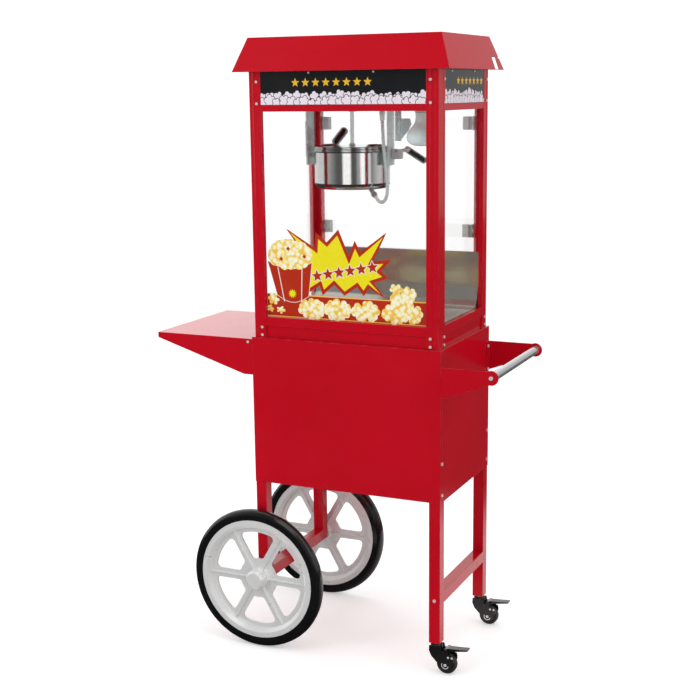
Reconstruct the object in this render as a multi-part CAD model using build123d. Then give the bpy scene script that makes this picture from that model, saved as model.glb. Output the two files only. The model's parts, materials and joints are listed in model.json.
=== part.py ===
from build123d import *
import math
import os

# Popcorn maker on a two-wheeled cart. Millimetres, +Z up, front (glass with the picture) towards -Y.
# Sizes below are given about the machine's own centre plane. Every part is moved by ORIGIN_SHIFT on export,
# so that the origin lies on the ground under the middle of the whole cart's outline.

# Cart cabinet and legs
CABINET_X = 257.4
CABINET_Y = 183.2
CABINET_BOTTOM = 448.4
CABINET_TOP = 832.3
SHEET = 1.2
LEG = 29.0
TUBE_WALL = 1.5
LEG_X = CABINET_X - SHEET
LEG_Y = CABINET_Y - SHEET
RIGHT_LEG_BOTTOM = 80.0
LEFT_LEG_BOTTOM = 178.0
BAR_HEIGHT = 30.0
RIGHT_BAR_BOTTOM = 181.0
DOOR_OPENING_X = 204.0
DOOR_OPENING_LOW = 480.0
DOOR_OPENING_HIGH = 800.0
CABINET_HINGE_X = DOOR_OPENING_X - 0.5
CABINET_HINGE_Y = CABINET_Y + 3.2
CABINET_HINGE_HEIGHTS = (530.0, 750.0)
HINGE_EYE_RADIUS = 3.0
HINGE_PIN_RADIUS = 1.5

# Side shelf and push handle
SHELF_TIP = -540.0
SHELF_TOP = 826.5
SHELF_LIP = 14.0
SHELF_GUSSET_BOTTOM = 733.0
HANDLE_X = 385.0
HANDLE_Z = 776.0
HANDLE_END_RADIUS = 18.0
HANDLE_TUBE_RADIUS = 11.0

# Big wheels
WHEEL_RADIUS = 188.0
WHEEL_X = -247.5
WHEEL_MID_Y = 201.0
TYRE_WIDTH = 30.0
TYRE_SEAT = 158.0
RIM_EDGE = 161.5
AXLE_RADIUS = 5.0
CAP_FACE_Y = 228.0
RUNNING_GAP = 0.05
SPOKES = 6

# Casters
CASTER_X = 243.0
CASTER_Y = 167.0
CASTER_TRAIL = 28.0
CASTER_RADIUS = 26.0
STEM_RADIUS = 5.0
PEDAL_X = CASTER_X + 29.0
PEDAL_Z = 62.0

# Popping chamber
BODY_X = 250.0
BODY_Y = 178.6
POST_FRONT_WIDTH = 32.0
FRONT_POST_DEPTH = 44.0
REAR_POST_DEPTH = 30.6
PROFILE = 12.0
BODY_BOTTOM = CABINET_TOP
SKIRT_TOP = 863.0
RAIL_TOP = 886.0
UPPER_RAIL_BOTTOM = 1399.0
UPPER_RAIL_TOP = 1415.0
BODY_TOP = 1495.0
CEILING = 1412.0
PANE = 4.0
DOOR_BOTTOM = 1034.0
SILL_TOP = 1030.0
SILL_FOLD = 938.0
DOOR_HINGE_HEIGHTS = (1084.0, 1362.0)
DRAWER_X = 150.0
DRAWER_LOW = 838.0
DRAWER_HIGH = 878.0

# Roof hood
ROOF_LOW_X = 284.3
ROOF_LOW_Y = 201.5
ROOF_HIGH_X = 254.2
ROOF_HIGH_Y = 170.5
ROOF_HIGH = 1577.7
VENT_SLOT_TOP = 1527.0

# Rear switch panel: switch name and its place
SWITCHES = {"heat_switch": -70.0, "motor_switch": 0.0, "lamp_switch": 70.0}
SWITCH_Z = 1455.0
SWITCH_TILT = 9.0
INLET_X = 165.0

# Kettle
KETTLE_X = -52.0
KETTLE_RADIUS = 96.0
KETTLE_BOTTOM = 1203.0
KETTLE_TOP = 1295.0
PAN_FLOOR = 1219.0
LID_RADIUS = 101.0
LID_BOTTOM = 1297.5
LID_TOP = 1310.0
BRIDGE_HALF = 9.0
HINGE_Y = 10.0
HINGE_Z = 1312.0
LID_HINGES = (KETTLE_X - 62.0, KETTLE_X + 62.0)
PIVOT_Y = -6.0
PIVOT_Z = 1285.0
HANGER_OFFSET = 112.0
HANGER_BOTTOM = 1262.0
ROD_RADIUS = 5.0
ROD_TOP = 1400.0

# Conduit from the ceiling to the kettle: route by hand, ends face to face with its two fittings
CONDUIT_DIAMETER = 9.0
CONDUIT_ROUTE = [
    (57.0, -60.0, 1375.0),
    (58.0, -60.0, 1340.0),
    (61.5, -60.0, 1296.0),
    (67.0, -60.5, 1252.0),
    (70.0, -59.0, 1212.0),
    (66.0, -56.0, 1186.0),
    (55.0, -52.5, 1172.0),
    (40.5, -48.0, 1173.0),
    (30.0, -44.0, 1186.0),
]

ORIGIN_SHIFT = -(SHELF_TIP + HANDLE_X + HANDLE_END_RADIUS) / 2
parts = {}


def block(x0, x1, y0, y1, z0, z1):
    """Box between two corners."""
    size = (abs(x1 - x0), abs(y1 - y0), abs(z1 - z0))
    return Pos((x0 + x1) / 2, (y0 + y1) / 2, (z0 + z1) / 2) * Box(*size)


def rod(start, end, radius):
    """Round bar between two points."""
    a = Vector(*start)
    b = Vector(*end)
    plane = Plane(origin=a, z_dir=b - a)
    return extrude(plane * Circle(radius), (b - a).length)


def tube(start, end, outer, inner):
    """Round tube between two points."""
    return rod(start, end, outer) - rod(start, end, inner)


def outline(plane, points, depth):
    """Closed polygon on a plane, extruded along the plane's normal."""
    face = make_face(Polyline(*points, close=True))
    return extrude(plane * face, depth)


def sheet_xz(points, y0, y1):
    """Polygon of (x, z) points between two depths."""
    start = max(y0, y1)
    return outline(Plane(origin=(0, start, 0), x_dir=(1, 0, 0), z_dir=(0, -1, 0)), points, abs(y1 - y0))


def sheet_yz(points, x0, x1):
    """Polygon of (y, z) points between two X places."""
    start = min(x0, x1)
    return outline(Plane(origin=(start, 0, 0), x_dir=(0, 1, 0), z_dir=(1, 0, 0)), points, abs(x1 - x0))


def spin(points, x=0.0, y=0.0):
    """Solid of revolution from (radius, z) points about a vertical axis."""
    face = make_face(Polyline(*points, close=True))
    profile = Plane(origin=(x, y, 0), x_dir=(1, 0, 0), z_dir=(0, -1, 0)) * face
    return revolve(profile, Axis((x, y, 0), (0, 0, 1)))


def ring_about_y(points, x, z):
    """Solid of revolution from (radius, y) points about an axis along Y."""
    face = make_face(Polyline(*[(r, y) for r, y in points], close=True))
    profile = Plane(origin=(x, 0, z), x_dir=(1, 0, 0), z_dir=(0, 0, 1)) * face
    return revolve(profile, Axis((x, 0, z), (0, 1, 0)))


def screw(place, axis, head_radius=4.2, head_height=2.4, shank=6.0):
    """Pan-head screw: its head stands out of the surface along the axis, its shank goes in."""
    plane = Plane(origin=place, z_dir=axis)
    head = extrude(plane * Circle(head_radius), head_height)
    head = fillet(head.edges().group_by(SortBy.LENGTH)[-1].filter_by(GeomType.CIRCLE), 0.4)
    shank_bar = extrude(plane * Circle(head_radius * 0.45), -shank)
    return Part() + head + shank_bar


def both_sides(piece):
    """A piece and its mirror image on the other side of the machine's centre plane."""
    return [piece, mirror(piece, Plane.YZ)]


def front_and_back(piece):
    """A piece and its mirror image across the plane between front and back."""
    return [piece, mirror(piece, Plane.XZ)]


def framed(outer, hole):
    """Four blocks round an oblong hole in an upright sheet; outer is x0, x1, z0, z1, y0, y1."""
    x0, x1, z0, z1, y0, y1 = outer
    hx0, hx1, hz0, hz1 = hole
    return [block(x0, hx0, y0, y1, z0, z1), block(hx1, x1, y0, y1, z0, z1),
            block(hx0, hx1, y0, y1, z0, hz0), block(hx0, hx1, y0, y1, hz1, z1)]


def add(name, *pieces):
    """Store a node as separate solids."""
    solids = []
    for piece in pieces:
        for item in piece if isinstance(piece, (list, tuple)) else [piece]:
            solids.extend(item.solids())
    parts[name] = solids


# ---------------------------------------------------------------- cart frame
def square_tube(x0, x1, y0, y1, z0, z1, along):
    """Square tube, open at both ends, with its length along one axis."""
    outer = block(x0, x1, y0, y1, z0, z1)
    w = TUBE_WALL
    trims = {"x": (0, w, w), "y": (w, 0, w), "z": (w, w, 0)}[along]
    dx, dy, dz = trims
    return outer - block(x0 + dx, x1 - dx, y0 + dy, y1 - dy, z0 + dz, z1 - dz)


def cart_frame():
    leg_top = CABINET_TOP - SHEET
    leg_x = (LEG_X - LEG, LEG_X)
    leg_y = (-LEG_Y, -LEG_Y + LEG)
    right_leg = square_tube(*leg_x, *leg_y, RIGHT_LEG_BOTTOM, leg_top, "z")
    floor_wall = block(leg_x[0] + TUBE_WALL, leg_x[1] - TUBE_WALL, leg_y[0] + TUBE_WALL, leg_y[1] - TUBE_WALL,
                       RIGHT_LEG_BOTTOM, RIGHT_LEG_BOTTOM + 3)
    stem_hole = rod((CASTER_X, -CASTER_Y, 0), (CASTER_X, -CASTER_Y, 200), STEM_RADIUS)
    right_leg = right_leg + floor_wall - stem_hole
    left_leg = square_tube(-leg_x[1], -leg_x[0], *leg_y, LEFT_LEG_BOTTOM, leg_top, "z")
    axle_hole = rod((WHEEL_X, -300, WHEEL_RADIUS), (WHEEL_X, 300, WHEEL_RADIUS), AXLE_RADIUS)
    left_leg = left_leg - axle_hole
    add("cart_legs", front_and_back(right_leg), front_and_back(left_leg))

    span = LEG_Y - LEG
    right_bar = square_tube(*leg_x, -span, span, RIGHT_BAR_BOTTOM, RIGHT_BAR_BOTTOM + BAR_HEIGHT, "y")
    left_bar_top = LEFT_LEG_BOTTOM + BAR_HEIGHT
    left_bar = square_tube(-leg_x[1], -leg_x[0], -span, span, LEFT_LEG_BOTTOM, left_bar_top, "y")
    add("cross_bars", right_bar, left_bar)

    axle_end = CAP_FACE_Y - 9
    axle = rod((WHEEL_X, -axle_end, WHEEL_RADIUS), (WHEEL_X, axle_end, WHEEL_RADIUS), AXLE_RADIUS)
    inner_washer = tube((WHEEL_X, LEG_Y, WHEEL_RADIUS), (WHEEL_X, LEG_Y + 2, WHEEL_RADIUS), 9.5, AXLE_RADIUS)
    outer_washer = tube((WHEEL_X, CAP_FACE_Y - 13.5, WHEEL_RADIUS), (WHEEL_X, CAP_FACE_Y - 12, WHEEL_RADIUS),
                        9.5, AXLE_RADIUS)
    add("wheel_axle", axle, front_and_back(inner_washer), front_and_back(outer_washer))


# ---------------------------------------------------------------- cabinet
def cabinet():
    flange = 14.0
    front = block(-CABINET_X, CABINET_X, -CABINET_Y, -LEG_Y, CABINET_BOTTOM, CABINET_TOP - SHEET)
    corner = block(LEG_X, CABINET_X, -LEG_Y, -CABINET_Y + flange, CABINET_BOTTOM, CABINET_TOP - SHEET)
    add("cabinet_front_panel", Part() + front + both_sides(corner))

    side = block(LEG_X, CABINET_X, -CABINET_Y + flange + 0.3, LEG_Y, CABINET_BOTTOM, CABINET_TOP - SHEET)
    add("cabinet_side_panels", both_sides(side))

    plate_x = LEG_X - LEG
    floor = block(-plate_x, plate_x, -LEG_Y, LEG_Y, CABINET_BOTTOM, CABINET_BOTTOM + SHEET)
    floor_lip = block(-plate_x, plate_x, -LEG_Y, -LEG_Y + SHEET, CABINET_BOTTOM + SHEET, CABINET_BOTTOM + 15)
    top = block(-CABINET_X, CABINET_X, -CABINET_Y, CABINET_Y, CABINET_TOP - SHEET, CABINET_TOP)
    add("cabinet_plates", floor, floor_lip, top)

    rear = (-CABINET_X, CABINET_X, CABINET_BOTTOM, CABINET_TOP - SHEET, LEG_Y, CABINET_Y)
    opening = (-DOOR_OPENING_X, DOOR_OPENING_X, DOOR_OPENING_LOW, DOOR_OPENING_HIGH)
    stop = block(-DOOR_OPENING_X - 6.8, -DOOR_OPENING_X + 8, LEG_Y - 15, LEG_Y - 13.8, 560, 720)
    stop_arm = block(-DOOR_OPENING_X - 8, -DOOR_OPENING_X - 6.8, LEG_Y - 15, LEG_Y, 560, 720)
    pieces = framed(rear, opening) + [stop, stop_arm]
    for z in CABINET_HINGE_HEIGHTS:
        for low in (z - 18, z + 8):
            ear = block(CABINET_HINGE_X, DOOR_OPENING_X + 12, CABINET_Y, CABINET_Y + SHEET, low, low + 10)
            eye = hinge_bar(low, low + 10, HINGE_EYE_RADIUS)
            relief = block(CABINET_HINGE_X - 4, CABINET_HINGE_X, CABINET_Y - 1, CABINET_Y + 0.2,
                           low - 1, low + 11)
            knuckle = Part() + ear + eye - relief
            pieces.append(knuckle - hinge_bar(low - 1, low + 11, HINGE_PIN_RADIUS))
        pieces.append(hinge_bar(z - 18.5, z + 18.5, HINGE_PIN_RADIUS))
    add("cabinet_rear_frame", pieces)


def hinge_bar(low, high, radius):
    """Upright bar on the cabinet door's hinge line."""
    return rod((CABINET_HINGE_X, CABINET_HINGE_Y, low), (CABINET_HINGE_X, CABINET_HINGE_Y, high), radius)


def cabinet_door():
    gap = 2.0
    depth = 12.0
    x = DOOR_OPENING_X - gap
    z0 = DOOR_OPENING_LOW + gap
    z1 = DOOR_OPENING_HIGH - gap
    pan = block(-x, x, CABINET_Y - depth, CABINET_Y, z0, z1)
    hollow = block(-x + SHEET, x - SHEET, CABINET_Y - depth - 1, CABINET_Y - SHEET, z0 + SHEET, z1 - SHEET)
    door = pan - hollow
    for z in CABINET_HINGE_HEIGHTS:
        leaf = block(x - 14, CABINET_HINGE_X, CABINET_Y, CABINET_Y + SHEET, z - 7.5, z + 7.5)
        eye = hinge_bar(z - 7.5, z + 7.5, HINGE_EYE_RADIUS)
        bore = hinge_bar(z - 8, z + 8, HINGE_PIN_RADIUS + RUNNING_GAP)
        door = door + leaf + eye - bore
    add("cabinet_door", door)
    knob_x = -DOOR_OPENING_X + 30
    stalk = rod((knob_x, CABINET_Y, 640), (knob_x, CABINET_Y + 10, 640), 5)
    grip = rod((knob_x, CABINET_Y + 10, 640), (knob_x, CABINET_Y + 18, 640), 11)
    grip = fillet(grip.edges().filter_by(GeomType.CIRCLE), 2.5)
    add("cabinet_door_knob", Part() + stalk + grip)


def shelf():
    inner = -CABINET_X
    bottom_points = [
        (SHELF_TIP, SHELF_TOP),
        (inner, SHELF_TOP),
        (inner, SHELF_GUSSET_BOTTOM),
        (inner - 26, SHELF_GUSSET_BOTTOM),
        (SHELF_TIP, SHELF_TOP - SHELF_LIP),
    ]
    wedge = sheet_xz(bottom_points, -CABINET_Y, CABINET_Y)
    under = [
        (SHELF_TIP + SHEET, SHELF_TOP - SHEET),
        (inner - SHEET, SHELF_TOP - SHEET),
        (inner - SHEET, SHELF_GUSSET_BOTTOM - 5),
        (SHELF_TIP + SHEET, SHELF_GUSSET_BOTTOM - 5),
    ]
    hollow = sheet_xz(under, -CABINET_Y + SHEET, CABINET_Y - SHEET)
    flange = 30.0
    back_cut = block(inner - 2, inner + 1, -CABINET_Y + flange, CABINET_Y - flange, SHELF_GUSSET_BOTTOM - 1,
                     SHELF_TOP - flange)
    add("serving_shelf", wedge - hollow - back_cut)


def push_handle():
    plane = Plane(origin=(0, -CABINET_Y + SHEET, 0), x_dir=(1, 0, 0), z_dir=(0, -1, 0))
    top = HANDLE_Z + 16
    points = [(CABINET_X, 714), (CABINET_X, top), (HANDLE_X, top), (HANDLE_X, HANDLE_Z - 16)]
    face = make_face(Polyline(*points, close=True)) + Pos(HANDLE_X, HANDLE_Z) * Circle(HANDLE_END_RADIUS)
    plate = extrude(plane * face, SHEET + 0.8)
    tab = block(CABINET_X, CABINET_X + 2, -CABINET_Y + SHEET, -CABINET_Y + 20, 714, top)
    bolt_hole = rod((HANDLE_X, -CABINET_Y - 5, HANDLE_Z), (HANDLE_X, -CABINET_Y + 5, HANDLE_Z), 3)
    add("handle_plates", front_and_back(Part() + plate + tab - bolt_hole))
    reach = CABINET_Y - SHEET
    bar = tube((HANDLE_X, -reach, HANDLE_Z), (HANDLE_X, reach, HANDLE_Z), HANDLE_TUBE_RADIUS,
               HANDLE_TUBE_RADIUS - 1.5)
    plug = tube((HANDLE_X, -reach, HANDLE_Z), (HANDLE_X, -reach + 14, HANDLE_Z), HANDLE_TUBE_RADIUS - 1.5, 3)
    add("handle_tube", bar, front_and_back(plug))


def cart_fasteners():
    pieces = []
    for z in (548, 468):
        pieces += both_sides(screw((CABINET_X, -CABINET_Y + 10, z), (1, 0, 0)))
        pieces += both_sides(screw((CABINET_X, CABINET_Y - 8, z), (1, 0, 0)))
    for z in (718, 780):
        for corner in front_and_back(screw((CABINET_X + 2, -CABINET_Y + 12, z), (1, 0, 0))):
            pieces.append(corner)
    bar_z = RIGHT_BAR_BOTTOM + 12
    pieces += front_and_back(screw((CASTER_X - 1, -LEG_Y, bar_z), (0, -1, 0)))
    pieces += front_and_back(screw((HANDLE_X, -CABINET_Y - 0.8, HANDLE_Z), (0, -1, 0), 5.0, 3.0, 12.0))
    pieces += front_and_back(screw((-CABINET_X - 12, -CABINET_Y, SHELF_TOP - 8), (0, -1, 0), 3.5, 2.0, 4.0))
    stem = rod((CASTER_X, -CASTER_Y, 58), (CASTER_X, -CASTER_Y, 112), STEM_RADIUS)
    nut = extrude(Pos(CASTER_X, -CASTER_Y, 76.2) * RegularPolygon(8.5, 6), RIGHT_LEG_BOTTOM - 76.2)
    pieces += front_and_back(Part() + stem + nut)
    add("cart_fasteners", pieces)


# ---------------------------------------------------------------- wheels
def wheel_window():
    """Rounded triangular window between two spokes, about the wheel's centre."""
    half_spoke = 13.0
    half_angle = math.radians(180 / SPOKES)
    apex = half_spoke / math.sin(half_angle)
    far = 260.0
    points = [(apex, 0)]
    for sign in (-1, 1):
        points.append((apex + far * math.cos(half_angle), sign * far * math.sin(half_angle)))
    wedge = make_face(Polyline(*points, close=True))
    window = wedge & (Circle(126) - Circle(54))
    return fillet(window.vertices(), 10.5)


def big_wheel(side, prefix):
    """One wheel; side is -1 for the front and +1 for the rear."""
    x = WHEEL_X
    z = WHEEL_RADIUS

    def ring(*points):
        return ring_about_y([(r, side * w) for r, w in points], x, z)

    hub = ring((AXLE_RADIUS + RUNNING_GAP, 184.2), (24, 184.2), (26, 196), (27, 203), (26, CAP_FACE_Y - 14.5),
               (AXLE_RADIUS + RUNNING_GAP, CAP_FACE_Y - 14.5))
    web = ring((24, 197), (155, 197), (155, 202), (24, 202))
    web_plane = Plane(origin=(x, side * 190, z), x_dir=(1, 0, 0), z_dir=(0, side, 0))
    for n in range(SPOKES):
        turn = Rot(0, 0, (n + 0.5) * 360 / SPOKES)
        web = web - extrude(web_plane * turn * wheel_window(), 20)
    barrel = ring((154, 188.5), (TYRE_SEAT, 188.5), (TYRE_SEAT, 213), (154, 213))
    front_flange = ring((139, 201), (142.5, 201), (142.5, 209), (149, 213), (157, 213), (157, 212),
                        (RIM_EDGE, 212), (RIM_EDGE, 215.5), (148, 216), (139, 209))
    back_flange = ring((139, 198), (139, 191.5), (148, 187.2), (151, 187), (RIM_EDGE, 187), (RIM_EDGE, 190),
                       (150, 190), (142.5, 193.5), (142.5, 198))
    rim = Part() + hub + web + barrel + front_flange + back_flange
    for start, depth in ((201, 6), (191, 7)):
        rib_plane = Plane(origin=(x, side * start, z), x_dir=(1, 0, 0), z_dir=(0, side, 0))
        for n in range(SPOKES):
            rib = Rot(0, 0, n * 360 / SPOKES) * Pos(83, 0) * Rectangle(122, 3)
            rim = rim + extrude(rib_plane * rib, depth)
    cap_back = CAP_FACE_Y - 14.5
    cap = ring((0, CAP_FACE_Y - 8.5), (10.5, CAP_FACE_Y - 8.5), (10.5, cap_back), (25.5, cap_back),
               (25.5, CAP_FACE_Y - 5), (20, CAP_FACE_Y), (0, CAP_FACE_Y))
    add(prefix + "_wheel_rim", rim, cap)
    half = TYRE_WIDTH / 2
    round_edge = 13.5
    tyre = [(TYRE_SEAT, WHEEL_MID_Y - 11), (RIM_EDGE, WHEEL_MID_Y - 11), (RIM_EDGE, WHEEL_MID_Y - half)]
    for n in range(0, 5):
        turn = math.radians(22.5 * n)
        tyre.append((WHEEL_RADIUS - round_edge + round_edge * math.sin(turn),
                     WHEEL_MID_Y - half + round_edge - round_edge * math.cos(turn)))
    for n in range(4, -1, -1):
        turn = math.radians(22.5 * n)
        tyre.append((WHEEL_RADIUS - round_edge + round_edge * math.sin(turn),
                     WHEEL_MID_Y + half - round_edge + round_edge * math.cos(turn)))
    tyre += [(RIM_EDGE, WHEEL_MID_Y + half), (RIM_EDGE, WHEEL_MID_Y + 11), (TYRE_SEAT, WHEEL_MID_Y + 11)]
    add(prefix + "_wheel_tyre", ring(*tyre))


def caster(side, prefix):
    """Swivel caster with a brake pedal; side is -1 for the front and +1 for the rear."""
    y = side * CASTER_Y
    wheel_x = CASTER_X + CASTER_TRAIL
    cheek = [(-15, 73), (-16, 60), (-10, 46), (6, 30), (14, 18), (24, 12), (36, 13), (44, 22),
             (50, 36), (50, 46), (42, 54), (30, 57), (18, 60), (15, 73)]
    cheek = [(CASTER_X + dx, z) for dx, z in cheek]
    inner = 12.5
    outer = 15.5
    fork = Part()
    for s in (-1, 1):
        fork = fork + sheet_xz(cheek, y + s * inner, y + s * outer)
    crown = rod((CASTER_X, y, 62), (CASTER_X, y, 76), 15.5)
    crown = fillet(crown.edges().filter_by(GeomType.CIRCLE).sort_by(Axis.Z)[-1:], 3)
    bore = rod((CASTER_X, y, 50), (CASTER_X, y, 90), STEM_RADIUS + RUNNING_GAP)
    fork = fork + crown - bore
    for dx in (36.0, 46.0):
        for s in (-1, 1):
            place = (CASTER_X + dx, y + s * outer, 48.0)
            fork = fork + rod(place, (place[0], place[1] + s * 1.2, place[2]), 2.6)
    axle = rod((wheel_x, y - outer - 1.5, CASTER_RADIUS), (wheel_x, y + outer + 1.5, CASTER_RADIUS), 3.0)
    pin = rod((PEDAL_X, y - outer, PEDAL_Z), (PEDAL_X, y + outer, PEDAL_Z), 2.0)
    fork = fork + axle + pin
    for s in (-1, 1):
        fork = fork + rod((PEDAL_X, y + s * inner, PEDAL_Z), (PEDAL_X, y + s * outer, PEDAL_Z), 6.0)
    add(prefix + "_caster_fork", fork)

    bore_radius = 3.0 + RUNNING_GAP
    hub = ring_about_y([(bore_radius, y - 11), (9, y - 11), (9, y - 8), (18, y - 7), (18, y + 7), (9, y + 8),
                        (9, y + 11), (bore_radius, y + 11)], wheel_x, CASTER_RADIUS)
    tread = ring_about_y([(18, y - 7), (18, y - 9), (23, y - 9.5), (25.2, y - 7.5), (CASTER_RADIUS, y - 4),
                          (CASTER_RADIUS, y + 4), (25.2, y + 7.5), (23, y + 9.5), (18, y + 9), (18, y + 7)],
                         wheel_x, CASTER_RADIUS)
    add(prefix + "_caster_wheel", hub, tread)

    lever = [(20, 66), (24, 58), (36, 56), (40, 62), (62, 66), (85, 70), (84.5, 73), (60, 71), (34, 69.5)]
    lever = sheet_xz([(CASTER_X + dx, z) for dx, z in lever], y - 10, y + 10)
    pin_hole = rod((PEDAL_X, y - 20, PEDAL_Z), (PEDAL_X, y + 20, PEDAL_Z), 2.0 + RUNNING_GAP)
    add(prefix + "_brake_pedal", lever - pin_hole)


# ---------------------------------------------------------------- popping chamber
def post(side_depth):
    """Folded corner profile with its outer corner at the origin, legs along +X and +Y."""
    w = POST_FRONT_WIDTH
    d = side_depth
    t = PROFILE
    outer = [(1.5, 0), (9, 0), (11, 1.6), (22, 1.6), (24, 0.4), (w, 0.4), (w, t), (t, t), (t, d), (0.4, d),
             (0.4, d - 10), (1.2, d - 12), (1.2, 9), (0, 7), (0, 1.5)]
    wall = 1.5
    near = 3.2
    inner = [(near, near), (w - wall, near), (w - wall, t - wall), (t - wall, t - wall), (t - wall, d - wall),
             (near, d - wall)]
    section = make_face(Polyline(*outer, close=True)) - make_face(Polyline(*inner, close=True))
    return extrude(Pos(0, 0, BODY_BOTTOM) * section, BODY_TOP - BODY_BOTTOM)


def chamber_frame():
    front = Pos(-BODY_X, -BODY_Y, 0) * post(FRONT_POST_DEPTH)
    rear = mirror(Pos(-BODY_X, -BODY_Y, 0) * post(REAR_POST_DEPTH), Plane.XZ)
    add("corner_posts", both_sides(front), both_sides(rear))

    x = BODY_X - POST_FRONT_WIDTH
    y0 = -BODY_Y + FRONT_POST_DEPTH
    y1 = BODY_Y - REAR_POST_DEPTH
    rails = []
    for low, high in ((SKIRT_TOP, RAIL_TOP), (UPPER_RAIL_BOTTOM, UPPER_RAIL_TOP)):
        rails.append(square_tube(-x, x, -BODY_Y + 1, -BODY_Y + PROFILE, low, high, "x"))
        rails += both_sides(square_tube(BODY_X - PROFILE, BODY_X - 1, y0, y1, low, high, "y"))
    rails.append(square_tube(-x, x, BODY_Y - PROFILE, BODY_Y - 1, UPPER_RAIL_BOTTOM, UPPER_RAIL_TOP, "x"))
    add("frame_rails", rails)

    recess = 4.0
    skirt_front = block(-x, x, -BODY_Y + recess, -BODY_Y + recess + SHEET, BODY_BOTTOM, SKIRT_TOP)
    skirt_side = block(BODY_X - recess - SHEET, BODY_X - recess, y0, y1, BODY_BOTTOM, SKIRT_TOP)
    mouth = (-DRAWER_X - 2, DRAWER_X + 2, DRAWER_LOW - 1.5, DRAWER_HIGH + 1.5)
    apron = framed((-x, x, BODY_BOTTOM, RAIL_TOP, BODY_Y - recess - SHEET, BODY_Y - recess), mouth)
    runner_back = BODY_Y - recess - SHEET
    runner_web = block(DRAWER_X + 0.5, DRAWER_X + 1.7, -92, runner_back, BODY_BOTTOM, DRAWER_HIGH - 4)
    runner_sole = block(DRAWER_X - 10, DRAWER_X + 0.5, -92, runner_back, DRAWER_LOW - 1.7, DRAWER_LOW - 0.5)
    runners = both_sides(runner_web) + both_sides(runner_sole)
    add("base_skirt", skirt_front, both_sides(skirt_side), apron, runners)

    sign_front = block(-x, x, -BODY_Y + 1, -BODY_Y + 3, UPPER_RAIL_TOP, BODY_TOP)
    sign_side = block(BODY_X - 3, BODY_X - 1, y0, y1, UPPER_RAIL_TOP, BODY_TOP)
    add("sign_panels", sign_front, both_sides(sign_side))

    pane_y = -BODY_Y + PROFILE
    front_pane = block(-233, 233, pane_y, pane_y + PANE, RAIL_TOP - 10, UPPER_RAIL_BOTTOM + 10)
    pane_x = BODY_X - PROFILE
    side_pane = block(pane_x - PANE, pane_x, pane_y + PANE, -pane_y, RAIL_TOP - 10, UPPER_RAIL_BOTTOM + 10)
    add("window_panes", front_pane, both_sides(side_pane))

    floor_y0 = pane_y + PANE
    floor = block(-pane_x + PANE, pane_x - PANE, floor_y0, -pane_y, RAIL_TOP - SHEET, RAIL_TOP)
    for column in range(-7, 8):
        for row in range(-4, 4):
            slot = SlotOverall(16, 5)
            floor = floor - extrude(Pos(column * 19, row * 22 + 20, RAIL_TOP - 2) * slot, 4)
    add("chamber_floor", floor)

    y = BODY_Y - PROFILE
    sill = [(y - SHEET, SILL_TOP), (y, SILL_TOP), (y, RAIL_TOP), (120, RAIL_TOP), (120, RAIL_TOP + SHEET),
            (134, RAIL_TOP + 6), (146, RAIL_TOP + 18), (154, RAIL_TOP + 36), (y - SHEET - 6, SILL_FOLD),
            (y - SHEET, SILL_FOLD + 3)]
    panel = sheet_yz(sill, -pane_x + PANE, pane_x - PANE)
    hollow = [(y - SHEET, 930), (y - 8, RAIL_TOP + 30), (150, RAIL_TOP + 17), (138, RAIL_TOP + SHEET),
              (y - SHEET, RAIL_TOP + SHEET)]
    add("rear_sill", panel - sheet_yz(hollow, -pane_x + PANE - 1, pane_x - PANE + 1))

    ceiling = block(-pane_x, pane_x, pane_y, -pane_y, CEILING, CEILING + SHEET)
    shaft_hole = rod((KETTLE_X, 0, CEILING - 5), (KETTLE_X, 0, CEILING + 5), 9.5)
    add("ceiling_plate", ceiling - shaft_hole)


def crumb_drawer():
    back = BODY_Y - 4.0
    tray = block(-DRAWER_X, DRAWER_X, -90, back, DRAWER_LOW, DRAWER_HIGH)
    tray = tray - block(-DRAWER_X + SHEET, DRAWER_X - SHEET, -90 + SHEET, back - SHEET, DRAWER_LOW + SHEET,
                        DRAWER_HIGH + 1)
    face = block(-DRAWER_X - 8, DRAWER_X + 8, back, back + SHEET, DRAWER_LOW - 4, DRAWER_HIGH + 5)
    pull_top = block(-40, 40, back + SHEET, back + 16, 868, 869.2)
    pull_lip = block(-40, 40, back + 14.8, back + 16, 858, 868)
    add("crumb_drawer", Part() + tray + face + pull_top + pull_lip)


def roof():
    def frustum(shrink, low, high):
        scale = (ROOF_LOW_X - ROOF_HIGH_X) / (ROOF_HIGH - BODY_TOP)
        sections = []
        for z in (low, high):
            x = ROOF_LOW_X - scale * (z - BODY_TOP) - shrink
            y = ROOF_LOW_Y - scale * (z - BODY_TOP) - shrink
            sections.append(Pos(0, 0, z) * Rectangle(2 * x, 2 * y))
        return loft(sections)

    hood = frustum(0, BODY_TOP, ROOF_HIGH) - frustum(1.3, BODY_TOP - 2, ROOF_HIGH - SHEET)
    eave = frustum(0.4, BODY_TOP, BODY_TOP + SHEET)
    eave = eave - block(-BODY_X + 14, BODY_X - 14, -BODY_Y + 14, BODY_Y - 14, BODY_TOP - 2, BODY_TOP + 3)
    hood = hood + eave
    side_slot = block(262, 300, 134, 162, BODY_TOP - 1, VENT_SLOT_TOP)
    rear_slot = block(246, 274, 184, 215, BODY_TOP - 1, VENT_SLOT_TOP)
    add("roof_hood", hood - side_slot - rear_slot)


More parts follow.
